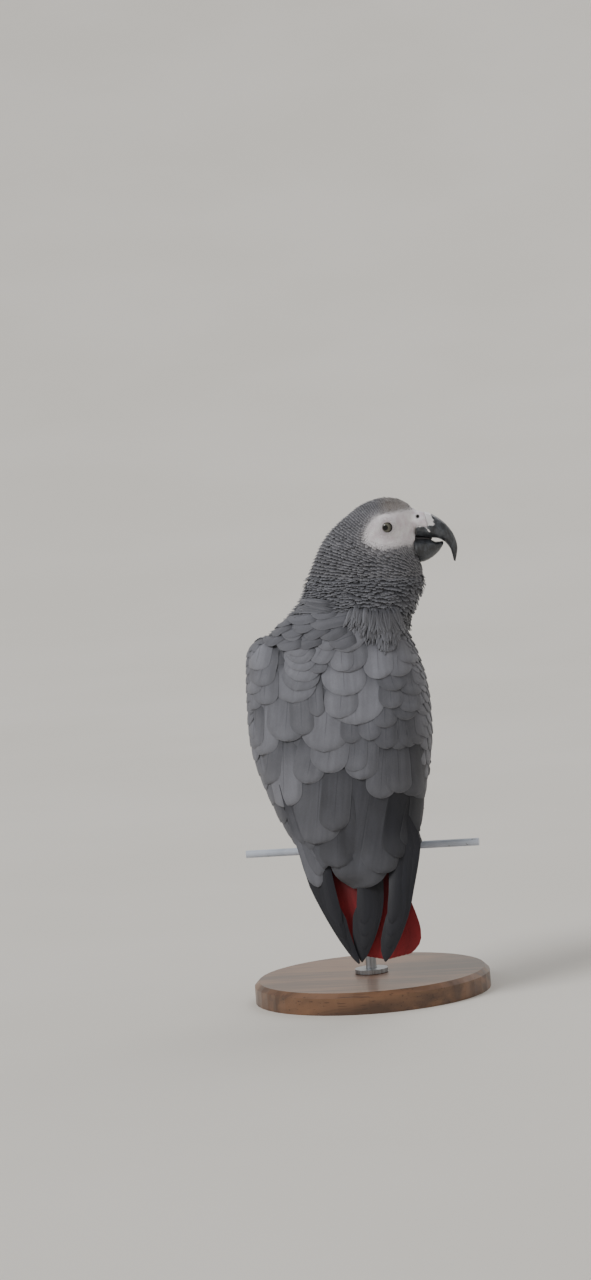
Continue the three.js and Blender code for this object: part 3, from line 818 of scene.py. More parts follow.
SCAPULARS = [
    (-38.8, 140.5, 13, 13, -42, 0.5, 0.0), (-37.8, 131, 17, 16, -42, 0.4, 0.0),
    (-36.8, 126.5, 18, 13, -41, 0.3, 0.05), (-36, 120.7, 19.5, 14, -36, 0.2, 0.05),
    (-34.8, 113.1, 21, 15, -26, 0.1, 0.05), (-35.3, 106.5, 22, 15, -19, 0.0, 0.1),
    (-37.7, 98.8, 25.5, 20, -7, -0.1, 0.1), (0.9, 129.1, 23, 23, 7, 0.5, 0.0),
    (-17.3, 133.3, 13, 17, -45, 0.2, 0.1), (-21.6, 124, 15, 16, -31, 0.1, 0.1),
    (-21.3, 116.9, 13, 16, -11, 0.0, 0.15), (0.7, 115.9, 24.6, 18, 1, 0.3, 0.05),
    (-3.6, 116.6, 13, 17, -5, 0.5, -0.1), (-3.1, 100.4, 25.5, 18, -4, 0.4, -0.2),
    (-8.2, 86, 19.4, 17, -6, 0.4, -0.2), (2, 81.1, 33.4, 30, -7, 0.0, 0.0),
    (19.7, 109.9, 16.7, 22, 0, 0.3, 0.1), (26.4, 127.4, 11.4, 14, -5, 0.4, 0.15),
    (32.1, 110.5, 16.7, 19, -4, 0.1, 0.15), (42.5, 118.9, 15.8, 18, 8, 0.2, 0.2),
]  # fmt: skip
COVERTS = [
    (-60.5, 122.6, 14, 22, -15, 0.3, 0.05), (-58.7, 111.9, 15, 24, -12, 0.2, 0.1),
    (-64.5, 107, 10.6, 25, -10, 0.1, 0.1), (-56.2, 99.3, 15, 21, -12, 0.1, 0.1),
    (-64.8, 96.5, 10.6, 20, -7, 0.1, 0.1), (-60.6, 66.3, 17, 40, -6, 0.3, 0.0),
    (-65, 71.8, 9.7, 25, -8, 0.0, 0.1), (-44.9, 73.9, 21.6, 33, -9, 0.1, 0.05),
    (-33.2, 77.2, 13.2, 33, -6, 0.0, 0.1), (-22.2, 88.7, 8, 24, -2, 0.1, 0.1),
    (-20.1, 64.9, 27.3, 39, -6, 0.3, 0.0), (29.6, 101.4, 15.8, 12, 0, 0.3, 0.15),
    (41.7, 97.8, 15.8, 16, -1, 0.2, 0.2), (48.3, 103.5, 10.6, 16, 2, 0.1, 0.25),
    (37.7, 86.8, 12.3, 13, -2, 0.3, 0.25), (48.5, 84, 9.7, 18, 5, 0.1, 0.3),
    (26.1, 90, 13.2, 13, -2, 0.2, 0.2), (35.1, 81.5, 13.2, 13, -2, 0.1, 0.3),
    (20.7, 77.6, 13.6, 15, -6, 0.2, 0.2), (-1.2, 69.2, 12.3, 17, -6, 0.1, 0.15),
    (10.8, 70, 12.3, 16, -5, 0.1, 0.15), (20.3, 63.7, 12.3, 18, -5, 0.2, 0.25),
    (28.3, 62.8, 12.3, 25, -6, 0.1, 0.3), (35, 63.9, 9.7, 21, -3, 0.0, 0.3),
    (41.8, 65.1, 9.7, 20, 1, 0.0, 0.35), (46.6, 70, 9.7, 18, -2, 0.0, 0.35),
    (-19.4, 51.2, 21, 28, -12, 0.1, 0.05), (-33.5, 45.2, 17.6, 26, -13, 0.1, 0.1),
    (-48.8, 31, 20.2, 39, -4, 0.2, 0.1), (-60, 47, 15, 32, -11, 0.0, 0.15),
    (2.2, 45, 18.5, 34, -9, 0.3, 0.3), (-1.8, 50.5, 14.1, 29, -6, 0.0, 0.25),
    (14.4, 31.5, 16.7, 35, -6, 0.2, 0.25), (27, 34.1, 13.2, 32, -3, 0.1, 0.35),
    (35.6, 31.6, 12.3, 35, -3, 0.0, 0.4), (40.7, 29.5, 9.7, 35, -5, 0.0, 0.5),
]  # fmt: skip
TERTIALS = [
    (-30, 5.2, 28, 58, -9, 0.3, 0.35), (-18, 12.7, 17.6, 50, -11, 0.1, 0.25),
    (-41.1, -1.2, 17.6, 50, -9, 0.0, 0.45), (-28.9, -13.6, 17.6, 50, 12, 0.0, 0.5),
    (-16.8, -11.5, 21, 56, -7, -0.1, 0.5), (-6.5, -26, 35, 88, -13, 0.3, 0.45),
    (9.7, -17.5, 23, 70, -14, 0.1, 0.5), (21.9, -7.9, 19.4, 62, -12, -0.1, 0.6),
    (31.2, -1.6, 14, 56, -10, -0.2, 0.7), (37.5, 8, 12, 52, -8, -0.3, 0.75),
]  # fmt: skip
# Narrow feathers of the hind neck that fall over the shoulders where the neck turns.
TUFT = [
    (6.6, 142.5, 19, -20), (9.7, 139.9, 20, -16), (13.5, 138, 23, -9), (15.8, 133.2, 28, -7),
    (19.2, 134.2, 26, -4), (22.4, 129.3, 30, -1), (25.6, 131.7, 28, 1), (29.2, 135.4, 24, 7),
    (27.6, 128.3, 30, 0), (32.2, 131.2, 26, 6), (35.2, 136.3, 20, 13), (11.9, 143.4, 15, -12),
    (21.5, 138, 18, 0), (4.1, 144, 16, -26), (37.5, 139.4, 15, 22), (2.2, 145.5, 14, -36),
    (24, 127.9, 24, -9), (30.7, 129.3, 19, -1), (17.5, 141, 20, -6), (33.8, 142, 18, 10), (8, 147, 14, -18),
    (26.5, 140, 20, 2),
]  # fmt: skip
TUFT_ROOTS = 162  # how far up the tuft's feathers are rooted
WISP_WIDTH = 7  # a narrower feather of the mantle is laid as a few loose strands


def spread_by(field, reach, pick):
    """Each cell becomes the greatest or least of the cells round it."""
    for axis in (0, 1):
        field = pick.reduce([np.roll(field, shift, axis) for shift in range(-reach, reach + 1)])
    return field


def finer(grid, times):
    """The same grid with evenly spaced values in between."""
    for axis in (0, 1):
        count = grid.shape[axis]
        at = np.linspace(0, count - 1, (count - 1) * times + 1)
        first = np.minimum(at.astype(int), count - 2)
        share = (at - first).reshape((-1, 1) if axis == 0 else (1, -1))
        grid = np.take(grid, first, axis) * (1 - share) + np.take(grid, first + 1, axis) * share
    return grid


class Drape:
    """The bird as seen from one way: a smooth sheet over its nodes, and how high it is covered so far."""

    STEP = 0.75
    UNMET = -1e3
    SPAN = 1.5  # millimetres to each side over which a slope is read

    def __init__(self, towards, low, high, nodes):
        right = UP.cross(towards).normalized()
        self.axes = [np.array(axis) for axis in (right, towards.cross(right), towards)]
        points, faces = joined(nodes)
        tree = BVHTree.FromPolygons([Vector(p) for p in points], faces)
        eye = PERCH + towards * CAMERA_DISTANCE
        self.low = low
        self.u, self.v = (np.arange(low[k], high[k], self.STEP) for k in (0, 1))
        depth = np.full((len(self.u), len(self.v)), self.UNMET)
        for i, u in enumerate(self.u):
            for j, v in enumerate(self.v):
                target = PERCH + Vector(self.axes[0] * u + self.axes[1] * v) * MM
                found = tree.ray_cast(eye, target - eye)[0]
                if found:
                    depth[i, j] = (found - PERCH).dot(towards) / MM
        self.met = depth > self.UNMET / 2
        self.sources(self.met & spread_by(self.met, 1, np.logical_and))
        for _ in range(16):
            beside = np.maximum.reduce([np.roll(depth, shift, axis) for axis in (0, 1) for shift in (-1, 1)])
            edge = (depth < self.UNMET / 2) & (beside > self.UNMET / 2)
            depth = np.where(edge, beside - 1.6 * self.STEP, depth)
        depth = np.maximum(depth, depth[self.met].min() - 30)
        depth = spread_by(spread_by(depth, 5, np.maximum), 5, np.minimum)
        for _ in range(20):
            for axis in (0, 1):
                depth = (np.roll(depth, 1, axis) + 2 * depth + np.roll(depth, -1, axis)) / 4
        self.depth = depth
        self.covered = np.full(depth.shape, -20.0)

    def sources(self, known):
        """For each cell, the nearest cell that lies on the bird: the sheet bends away round its outline."""
        here = np.stack(np.meshgrid(self.u, self.v, indexing="ij"), -1)
        source = here.copy()
        for _ in range(40):
            for axis in (0, 1):
                for shift in (-1, 1):
                    beside = np.roll(source, shift, axis)
                    old = np.where(known, np.linalg.norm(here - source, axis=-1), 1e9)
                    better = np.roll(known, shift, axis) & (np.linalg.norm(here - beside, axis=-1) < old)
                    source[better] = beside[better]
                    known = known | better
        self.source = source[..., 0], source[..., 1]

    def cell(self, u, v):
        x = np.clip((u - self.low[0]) / self.STEP, 0, len(self.u) - 1.01)
        y = np.clip((v - self.low[1]) / self.STEP, 0, len(self.v) - 1.01)
        return x, y

    def read(self, field, u, v):
        x, y = self.cell(u, v)
        i, j = x.astype(int), y.astype(int)
        x, y = x - i, y - j
        low = field[i, j] * (1 - x) + field[i + 1, j] * x
        high = field[i, j + 1] * (1 - x) + field[i + 1, j + 1] * x
        return low * (1 - y) + high * y

    def place(self, u, v, rise):
        """Points rise mm over the sheet, and the sheet's normals there."""
        on_u, on_v = (self.read(field, u, v) for field in self.source)
        beyond = np.hypot(u - on_u, v - on_v)
        u, v = on_u, on_v
        depth = self.read(self.depth, u, v) - 1.3 * beyond
        right, up, towards = self.axes
        normals = towards
        for a, b, axis in ((self.SPAN, 0, right), (0, self.SPAN, up)):
            rise_across = self.read(self.depth, u + a, v + b) - self.read(self.depth, u - a, v - b)
            normals = normals - (rise_across / (2 * self.SPAN))[..., None] * axis
        normals /= np.linalg.norm(normals, axis=-1, keepdims=True)
        nearer = 1 - depth * MM / CAMERA_DISTANCE
        flat = right * (u * nearer)[..., None] + up * (v * nearer)[..., None]
        return np.array(PERCH) + (flat + towards * depth[..., None] + normals * rise[..., None]) * MM, normals

    def facing(self, u, v, way):
        """How squarely the sheet faces a way at one place, or -1 off the bird."""
        x, y = self.cell(np.array(u), np.array(v))
        if not self.met[int(x), int(y)]:
            return -1.0
        return float(self.place(np.array(u), np.array(v), np.array(0.0))[1] @ np.array(way))

    def covered_under(self, u, v):
        x, y = self.cell(finer(u, 4), finer(v, 4))
        fine = self.covered[np.rint(x).astype(int), np.rint(y).astype(int)]
        padded = np.pad(fine, 2, mode="edge")
        rows, columns = u.shape
        ends = 4 * rows - 3, 4 * columns - 3
        shifts = [(a, b) for a in range(5) for b in range(5)]
        return np.maximum.reduce([padded[a : a + ends[0] : 4, b : b + ends[1] : 4] for a, b in shifts])

    def cover(self, u, v, top):
        x, y = self.cell(finer(u, 8), finer(v, 8))
        np.maximum.at(self.covered, (np.rint(x).astype(int), np.rint(y).astype(int)), finer(top, 8))


def lay_seen(coat, drape, tip, width, length, lean, depth, lift, dome, room=0.08, blunt=0.42,
             ragged=0.0, curl=0.0, bend=0.0, **look):
    """A feather laid as it is seen, over those already there, by its tip's place and lean to the right.
    Its edge is worn by ragged, its tip curls up by curl and its shaft bends aside by bend, all in mm."""
    t, half = coat.steps(length, width, blunt)
    lean = radians(lean)
    along = np.array([sin(lean), -cos(lean)])
    worn = rng.uniform(-1, 0.4, len(coat.c)) * ragged
    back = ((1 - t) * length)[:, None] - worn[None] * (half / half.max() * ease(0.55, 0.9, t))[:, None]
    out = coat.c[None] * half[:, None] + bend * np.sin(pi * t)[:, None]
    u = tip[0] - along[0] * back - along[1] * out
    v = tip[1] - along[1] * back + along[0] * out
    fall = np.abs(coat.c[None]) ** 2 * ease(0.1, 0.8, t)[:, None] + ease(0.8, 1.0, t)[:, None] ** 2 * 0.15
    rise = ((lift + depth) * t**1.1 - depth + curl * ease(0.6, 1.0, t) ** 2)[:, None] - dome * fall
    extra = np.clip(drape.covered_under(u, v) + room - rise, 0, None) * ease(0.12, 0.4, t)[:, None]
    for _ in range(6):
        padded = np.pad(extra, 1, mode="edge")
        soft = (padded[:-2, 1:-1] + padded[2:, 1:-1] + padded[1:-1, :-2] + padded[1:-1, 2:]) / 4
        extra = np.maximum(extra, soft)
    rise = rise + extra
    grid, normals = drape.place(u, v, rise)
    drape.cover(u, v, rise + 0.22)
    coat.add(grid, normals, t, half, length, 0.2, ridge=0.1, **look)


def dress_back():
    """The large feathers, laid from the lowest up, over plain rows that close the gaps between them."""
    drape = Drape(TOWARDS_VIEWER, (-84, -76), (62, 184), FLESH + BLADES + ["tail"])
    fill = Coat("back_filling", 12, 7, BACK_GREY)
    for row, v in enumerate(np.arange(24, 150, 8.5)):
        for u in np.arange(-72 + 5.5 * (row % 2), 56, 11):
            if drape.facing(u, v + 9, TOWARDS_VIEWER) > 0.3:
                lean = -14 + 14 * ease(-50, 40, u) - 40 * (ease(110, 150, v) * ease(10, -20, u))
                # the filling darkens higher up, as painted shade in the hollows under the mantle's flaps
                lay_seen(fill, drape, (u, v), 15, 30, lean, 2.8, -1.2, 0.3, ragged=0.6,
                         shade=0.45 + 0.25 * ease(105, 130, v) + rng.normal() * 0.05)
    # stations, columns and places; how many times as wide and long as the part that shows, and how many mm
    # longer still; depth, lift, dome, wear and curl in mm; darkness
    groups = {
        "mantle": (13, 7, MANTLE, 1.25, 1.2, 4, 2.0, 1.0, 0.8, 2.2, 1.1, 0.20),
        "scapular": (17, 9, SCAPULARS, 1.16, 1.5, 5, 2.6, 0.5, 1.7, 0.8, 1.0, 0.02),
        "covert": (18, 9, COVERTS, 1.2, 1.35, 7, 2.6, 0.3, 1.5, 0.7, 1.0, 0.20),
        "tertial": (24, 11, TERTIALS, 1.15, 1.15, 8, 2.4, 0.4, 1.3, 0.6, 1.3, 0.28),
    }
    coats = {name: Coat(name + "_feathers", *group[:2], BACK_GREY) for name, group in groups.items()}
    wisps = []
    laid = [(row[1] + 6 * row[5], name, row) for name, group in groups.items() for row in group[2]]
    for _, name, (across, up, width, length, lean, over, darker) in sorted(laid):
        wider, longer, more, depth, lift, dome, ragged, curl, shade = groups[name][3:]
        lean += rng.normal() * (8 if name == "mantle" else 2)
        # partly painted shade: feathers to the lower right are darkened for the side turned from the light
        darker += 0.1 * (ease(12, 30, across) * ease(66, 40, up))
        if width < WISP_WIDTH:
            for _ in range(5):
                tip = across + rng.normal() * 2, up + rng.normal() * 1.6
                wisps.append((*tip, length * 0.8, lean + rng.normal() * 5, 3.2))
            continue
        lay_seen(coats[name], drape, (across, up), width * wider, length * longer + more, lean, depth,
                 lift + 0.6 * over, dome * width / 20, blunt=0.6 if name == "mantle" else 0.44, ragged=ragged,
                 curl=curl, bend=rng.normal() * 0.5, shade=shade + darker + rng.normal() * 0.07)
    tuft = Coat("hind_neck_tuft", 12, 5, TUFT_GREY)
    strands = [(across + rng.normal() * 1.6, up + rng.uniform(-3, 4), length, lean + rng.normal() * 4, 1.9)
               for across, up, length, lean in TUFT for _ in range(6)]
    for across, up, length, lean, width in sorted(strands + wisps, key=lambda row: row[1]):
        length = (TUFT_ROOTS - up) / cos(radians(lean)) if abs(lean) < 50 else length * 1.2
        lay_seen(tuft, drape, (across, up), width * rng.uniform(0.7, 1.3), length, lean, 2.2,
                 0.0, 0.12, -0.16, 4.0, bend=rng.normal() * 1.0, shade=0.08 + rng.normal() * 0.05)
    for coat in (*coats.values(), fill, tuft):
        coat.build()


def dress_sides():
    """Coverts and folded flight feathers on the outer side of each wing, laid as seen from that side."""
    coverts = Coat("side_coverts", 12, 7, BACK_GREY)
    flight = Coat("side_flight_feathers", 18, 7, BACK_GREY)
    # height above the perch: row step, room across, width, length, darkness
    sizes = table([[-20, 13, 8, 12, 62, 0.5], [24, 12, 9, 13, 56, 0.42], [34, 10, 11, 15, 42, 0.2],
                   [60, 9, 10.5, 14, 30, 0.12], [100, 6.5, 8, 11, 19, 0.1], [144, 4.5, 5.5, 8, 12, 0.1]])
    for side, sign in SIDES.items():
        towards = Vector((sign, 0.2, 0.05)).normalized()
        drape = Drape(towards, (-75, -74), (75, 165), ["wing_" + side, "primaries_" + side])
        v, row = -30.0, 0
        while v < 146:
            step, across, width, length, shade = sizes(v)
            for u in np.arange(-70 + across / 2 * (row % 2), 70, across):
                u, tip = u + rng.uniform(-0.6, 0.6), v + rng.uniform(-1, 1)
                seen = drape.facing(u, tip + 4, towards)
                behind = drape.facing(u, tip + 4, TOWARDS_VIEWER)
                most = 0.5 if sign > 0 or v < 45 else 0.72
                if seen < 0.3 or behind > most:
                    continue
                hidden = ease(most - 0.3, most, behind)
                lean = sign * (16 + 14 * ease(110, 145, v)) + rng.normal() * 2
                curl = (0.5 if v > 30 else 0.0) * (1 - hidden)
                lay_seen(flight if v < 30 else coverts, drape, (u, tip), width, length, lean, 2.6,
                         0.3 - 1.6 * hidden, 0.5, ragged=0.4, curl=curl,
                         shade=shade + 0.14 + rng.normal() * 0.07)
            v, row = v + step, row + 1
    return coverts.build(), flight.build()


# ---- Primaries and tail ----


class Blade:
    """A flat CAD node that hangs down, read slice by slice."""

    def __init__(self, node):
        surface = Surface(NODES[node].data)
        self.points, self.pairs = surface.points, surface.edges()
        self.low, self.high = self.points[:, 2].min(), self.points[:, 2].max()

    def slice(self, z):
        """Least x, greatest x and greatest y at a height."""
        z = min(max(z, self.low + 0.3 * MM), self.high - 0.3 * MM)
        first, second = self.points[self.pairs[:, 0]], self.points[self.pairs[:, 1]]
        spans = (first[:, 2] > z) != (second[:, 2] > z)
        first, second = first[spans], second[spans]
        share = ((z - first[:, 2]) / (second[:, 2] - first[:, 2]))[:, None]
        cut = first + share * (second - first)
        return cut[:, 0].min(), cut[:, 0].max(), cut[:, 1].max()


def lay_on_blade(coat, blade, left, right, end, lift, tip_mm, arch=0.6, closes=0.0, **look):
    """A feather between two shares of the blade's width, that stops end mm short of its tip.
    Towards its own tip it widens by closes, a share of what is left of the width."""
    t = np.concatenate([np.linspace(0, 1, coat.stations - 5, endpoint=False) ** 0.9, [0] * 5])
    length = (blade.high - blade.low) / MM - end
    start = 1 - tip_mm / length
    t[:-5] = t[:-5] / max(t[-6], 1e-6) * start * 0.97
    t[-5:] = start + (1 - start) * np.sin(np.linspace(0, pi / 2, 5))
    fullness = rounded(t, start)
    grid = np.empty((coat.stations, len(coat.c), 3))
    half = np.empty(coat.stations)
    for i, share in enumerate(t):
        z = blade.high - length * share * MM
        low_x, high_x, back = blade.slice(z)
        wider = closes * ease(52, 28, (z - blade.low) / MM)
        near, far = left * (1 - wider), right + (1 - right) * wider
        from_x, to_x = low_x + (high_x - low_x) * near, low_x + (high_x - low_x) * far
        half[i] = (to_x - from_x) / 2 / MM * fullness[i]
        centre = (from_x + to_x) / 2
        for j, c in enumerate(coat.c):
            grid[i, j] = (centre + c * half[i] * MM, back + (lift - arch * c * c) * MM, z)
    normals = np.zeros_like(grid)
    normals[..., 1] = 1
    coat.add(grid, normals, t, half, length, 0.3, ridge=0.25, **look)


def dress_primaries():
    coat = Coat("primary_feathers", 20, 7, FLIGHT_GREY, "flight_feathers")
    # the two left groups close up towards their tips
    for node, outer, meets in zip(BLADES, ("right", "left", "left"), (1.3, 1.3, 1.0)):
        blade = Blade(node)
        for k in range(4):
            near, far = 0.16 * k, 0.16 * k + 0.52
            left, right = (near, far) if outer == "left" else (1 - far, 1 - near)
            lay_on_blade(coat, blade, left, right, 8 * k, -0.9 + 0.45 * k, 4 + 3 * k, 0.35,
                         closes=meets if k == 0 else 0.4, shade=0.4 - 0.1 * k + rng.normal() * 0.06)
    folded = Coat("folded_secondary_feathers", 20, 7, BACK_GREY)
    blade = Blade("primaries_left")
    shares = [(0.30, 1.0, 50), (0.12, 0.86, 57), (0.0, 0.66, 66), (0.36, 1.0, 78)]
    for k, (left, right, end) in enumerate(shares):
        lay_on_blade(folded, blade, left, right, end, 1.1 + 0.4 * k, 12, 0.5, shade=0.42 + 0.04 * k)
    return coat.build(*BLADES), folded.build()


def dress_tail():
    coat = Coat("tail_feathers", 20, 7, CRIMSON, "tail_feathers")
    blade = Blade("tail")
    for k, across in enumerate([0, 1, 0.1, 0.9, 0.2, 0.8, 0.3, 0.7, 0.4, 0.6, 0.5]):
        left = 0.68 * across
        lay_on_blade(coat, blade, left, left + 0.32, 2.5 * abs(across - 0.5) * 2, -2.3 + 0.2 * k, 10, 0.5,
                     shade=0.2 + 0.3 * abs(across - 0.5) + rng.normal() * 0.04)
    return coat.build("tail")


# ---- Skin ----

LID_OPENING = 3.2  # radius of the eye's opening, in millimetres
HEAD_FOOT = 190  # the bare patch is sought only above this height
NOSTRIL = (20.6, 5.2, 1.5)  # forward of and above the eye, and radius, in millimetres


def skin_material():
    """Bare powdery skin on face and cere, and dark grey elsewhere, as down and as painted shade in the gaps
    between feathers: soft, dry and finely creased.
    """
    material, add = new_material("powdery bare skin and down")
    rim, nostril_hollow_and_shade, white = carried(add, "marks")
    creases = in_place(add, "TexVoronoi", 0.526)
    blush = in_place(add, "TexNoise", 5.26, Detail=4.0)
    powder = in_place(add, "TexNoise", 0.667, Detail=3.0)  # its real grains are too fine to show
    bare = add("Mix", add("MapRange", blush, 0.35, 0.68), colour("#ece9ec"), colour("#d8cdd4"))
    # the creases are painted a little darker, as shade in them
    lines = add("MapRange", creases, 0.0, 0.12, 0.90, 1.0)
    lines = add("Math", lines, add("MapRange", powder, 0.3, 0.7, 0.94, 1.03))
    bare = add("Mix", 1.0, bare, add("CombineColor", lines, lines, lines), blend_type="MULTIPLY")
    # a thin dark lid rim, and round the eye a wider grey-mauve darkening that is partly the skin's tint and
    # partly painted shade
    bare = add("Mix", rim, bare, colour("#4a4146"))
    # the nostrils are painted near black inside, as painted shade in their hollows
    bare = add("Mix", nostril_hollow_and_shade, bare, colour("#0d0b0b"))
    # where not white the skin is dark grey, as down and as painted shade in the gaps between feathers
    return finished(material, add, {
        "Base Color": add("Mix", white, colour("#3b3c41"), bare),
        "Roughness": 0.65,
        "Specular IOR Level": 0.3,
        "Subsurface Weight": 0.06,
        "Subsurface Radius": (0.002, 0.001, 0.0007),
        "Normal": add("Bump", relief(creases, 0.08, 0.35)),
    })  # fmt: skip


def beside(points, name):
    """How far points are from the axis of an eye, how far out along it in mm, and that axis."""
    out = np.array(HEAD_LEFT) * SIDES[name]
    away = (points - np.array(EYES[name])) / MM
    proud = away @ out
    return np.linalg.norm(away - proud[:, None] * out, axis=1), proud, out


def shape_lids(points):
    """Moves skin near each eye into a lid that hugs the eyeball, with creases round it."""
    for name in SIDES:
        reach, proud, out = beside(points, name)
        near = (reach < 13) & (proud > 0)
        r, rest = reach[near], proud[near]
        ball = np.sqrt(EYE_RADIUS**2 - np.minimum(r, LID_OPENING + 0.2) ** 2)
        lip = ball - 0.6 + 0.95 * ease(LID_OPENING - 0.25, LID_OPENING + 0.35, r)
        slope = lip - 0.35 * ease(LID_OPENING + 0.4, LID_OPENING + 1.8, r)
        share = ease(LID_OPENING + 7.0, LID_OPENING + 0.6, r)
        creases = np.cos((r - LID_OPENING - 0.5) * 2 * pi / 1.5)
        fold = 0.12 * creases * ease(LID_OPENING + 0.6, LID_OPENING + 1.4, r)
        target = share * slope + (1 - share) * rest + fold * ease(9.5, 5, r)
        points[near] += (target - rest)[:, None] * out * MM
    return points


def nostril_depth(points):
    """1 at the middle of a nostril, 0 from its rim outwards."""
    forward, left, up = head_place(points)
    away = np.hypot(forward - NOSTRIL[0], up - NOSTRIL[1])
    return ease(NOSTRIL[2] + 0.2, NOSTRIL[2] * 0.45, away) * (np.abs(left) > 4)


def make_skin():
    points, faces = joined(FLESH + ["eye_left", "eye_right", "cere"], wings_end=24)
    skin = fused("skin", points, faces, 1.25, 4, skin_material())
    mesh = skin.data
    work = bmesh.new()
    work.from_mesh(mesh)
    places = np.array([v.co for v in work.verts])
    bare = (into_face(places) > -1.5) & (np.abs(head_place(places)[1]) > 5)
    bare &= height(places[:, 2]) > HEAD_FOOT
    chosen = [e for e in work.edges if bare[e.verts[0].index] and bare[e.verts[1].index]]
    bmesh.ops.subdivide_edges(work, edges=chosen, cuts=2, use_grid_fill=True, smooth=0.5)
    work.to_mesh(mesh)
    work.free()
    points, normals = points_of(mesh), normals_of(mesh)
    h = height(points[:, 2])
    inside = into_face(points)
    bare = ease(-2.0, 0.5, inside) * (h > HEAD_FOOT)
    forward, left, _ = head_place(points)
    depth = 1.0 + 0.8 * ease(200, 180, h) + 1.6 * ease(150, 138, h)
    depth = depth * (1 - bare) + bare * (0.25 - 0.35 * ease(15, 19, forward))
    points = shape_lids(points - normals * depth[:, None] * MM)
    # the nostrils are pushed in, and their middles are marked to be painted near black as their shade
    nostril_hollow_and_shade = nostril_depth(points) * bare
    points -= np.array(HEAD_LEFT) * (np.sign(left) * nostril_hollow_and_shade * 1.7 * MM)[:, None]
    move_points(mesh, points)
    rim = np.zeros(len(points))
    # a thin dark lid rim, and out to 9 mm a wider darkening that is partly the skin's tint and partly painted
    # shade round the eye
    for name in SIDES:
        r, proud, _ = beside(points, name)
        rim += (ease(LID_OPENING + 0.7, LID_OPENING + 0.1, r) * 0.30 + ease(9.0, 3.2, r) * 0.42) * (proud > 0)
    uneven = np.array([lumps(Vector(p), 3.0) for p in points]) * 0.9
    white = ease(-1.4, 1.2, inside + uneven) * (h > HEAD_FOOT)
    give_marks(mesh, np.clip(rim, 0, 1), nostril_hollow_and_shade, white)
    smooth_faces(mesh)
    give_map(mesh, unwrapped(points))
    return settle(skin, "bare_skin", *FLESH, "cere")


def dress_face(skin):
    """Sparse white bristles, finer than the feathers round them, that lie back over the bare patch."""
    surface = Surface(skin.data)
    coat = Coat("face_bristles", 5, 3, HEAD_GREY)
    for sign in SIDES.values():
        for forward in np.arange(-14, 17, 0.95):
            for up in np.arange(-12, 10.5, 0.95):
                f, u = forward + rng.uniform(-0.4, 0.4), up + rng.uniform(-0.4, 0.4)
                start = in_head(f, sign * 40, u)
                inside = into_face(start)
                if inside < -0.5 or hypot(f, u) < LID_OPENING + 1.6:
                    continue
                place, normal = surface.met(start, HEAD_LEFT * -sign)
                if place is None:
                    continue
                round_eye = Vector((f, u)).normalized() * ease(12, 4, hypot(f, u))
                way = -HEAD_FORWARD * (1 - 0.6 * round_eye.x) + UP * (round_eye.y * 0.5 - 0.15)
                way = swung(flattened(way, normal), normal, rng.normal() * 12)
                lay_small(coat, surface, place, way, rng.uniform(1.5, 2.3), 0.42, 0.1, 0.12, 6,
                          flow=lambda p, way=way: way, white=0.85 - 0.3 * ease(1, -1, inside))
    return coat.build()


# ---- Eyes ----

GAZE_BACK = 16  # degrees that each pupil looks behind square
PUPIL, IRIS = 1.75, 3.4  # radii in millimetres


def eye_material():
    """A wet eyeball behind a clear cornea: high gloss over a pale, finely rayed iris."""
    material, add = new_material("wet cornea and pale iris")
    radius, turn, _ = carried(add, "marks")
    rays = add("Math", add("Math", turn, 46.0), operation="SINE")
    uneven = in_place(add, "TexNoise", 0.625, Detail=3.0)
    streak = add("Math", add("Math", rays, 0.10), uneven, operation="ADD")
    whole = add("Mix", add("MapRange", streak, 0.3, 0.75), colour("#55544b"), colour("#77766a"))
    for first, last, code in (
        (IRIS - 1.2, IRIS, "#4a473f"),  # its darker outer half
        (PUPIL + 0.5, PUPIL, "#4f4d44"),
        (PUPIL + 0.12, PUPIL - 0.08, "#040405"),
        (IRIS, IRIS + 0.3, "#171514"),
    ):
        whole = add("Mix", add("MapRange", radius, first, last), whole, colour(code))
    return finished(material, add, {
        "Base Color": whole,
        "Roughness": 0.25,
        "Specular IOR Level": 0.25,
        "Coat Weight": 0.25,
        "Coat Roughness": 0.03,
    })  # fmt: skip


def bands(rows, around, first=0):
    """Faces that join rings of points, each ring to the next."""
    faces = []
    for start in range(first, first + rows * around, around):
        for j in range(around):
            a, b = start + j, start + (j + 1) % around
            faces.append((a, b, b + around, a + around))
    return faces


def make_eyes():
    material = eye_material()
    for name, side in SIDES.items():
        turn = radians(GAZE_BACK)
        gaze = (HEAD_LEFT * side * cos(turn) - HEAD_FORWARD * sin(turn)).normalized()
        first = gaze.orthogonal().normalized()
        second = gaze.cross(first)
        rows, around = 28, 40
        points = []
        for i in range(rows + 1):
            angle = pi * (i / rows) ** 1.3
            radius = EYE_RADIUS - 0.15 + 0.22 * ease(0.75, 0.2, angle)
            for j in range(around):
                roll = 2 * pi * j / around
                out = gaze * cos(angle) + (first * cos(roll) + second * sin(roll)) * sin(angle)
                points.append(EYES[name] + out * radius * MM)
        ball = new_object("eyeball_" + name, points, bands(rows, around), material)
        work = bmesh.new()
        work.from_mesh(ball.data)
        bmesh.ops.remove_doubles(work, verts=work.verts, dist=1e-6)
        bmesh.ops.recalc_face_normals(work, faces=work.faces)
        work.to_mesh(ball.data)
        work.free()
        away = (points_of(ball.data) - np.array(EYES[name])) / MM
        forward = away @ np.array(gaze)
        flat = away - forward[:, None] * np.array(gaze)
        radius = np.where(forward > 0, np.linalg.norm(flat, axis=1), 9.0)
        give_marks(ball.data, radius, np.arctan2(flat @ np.array(second), flat @ np.array(first)), radius * 0)
        settle(ball, "eye", "eye_" + name)


# ---- Bill, tongue and feet: the model's own shapes, made smooth and given their surface ----


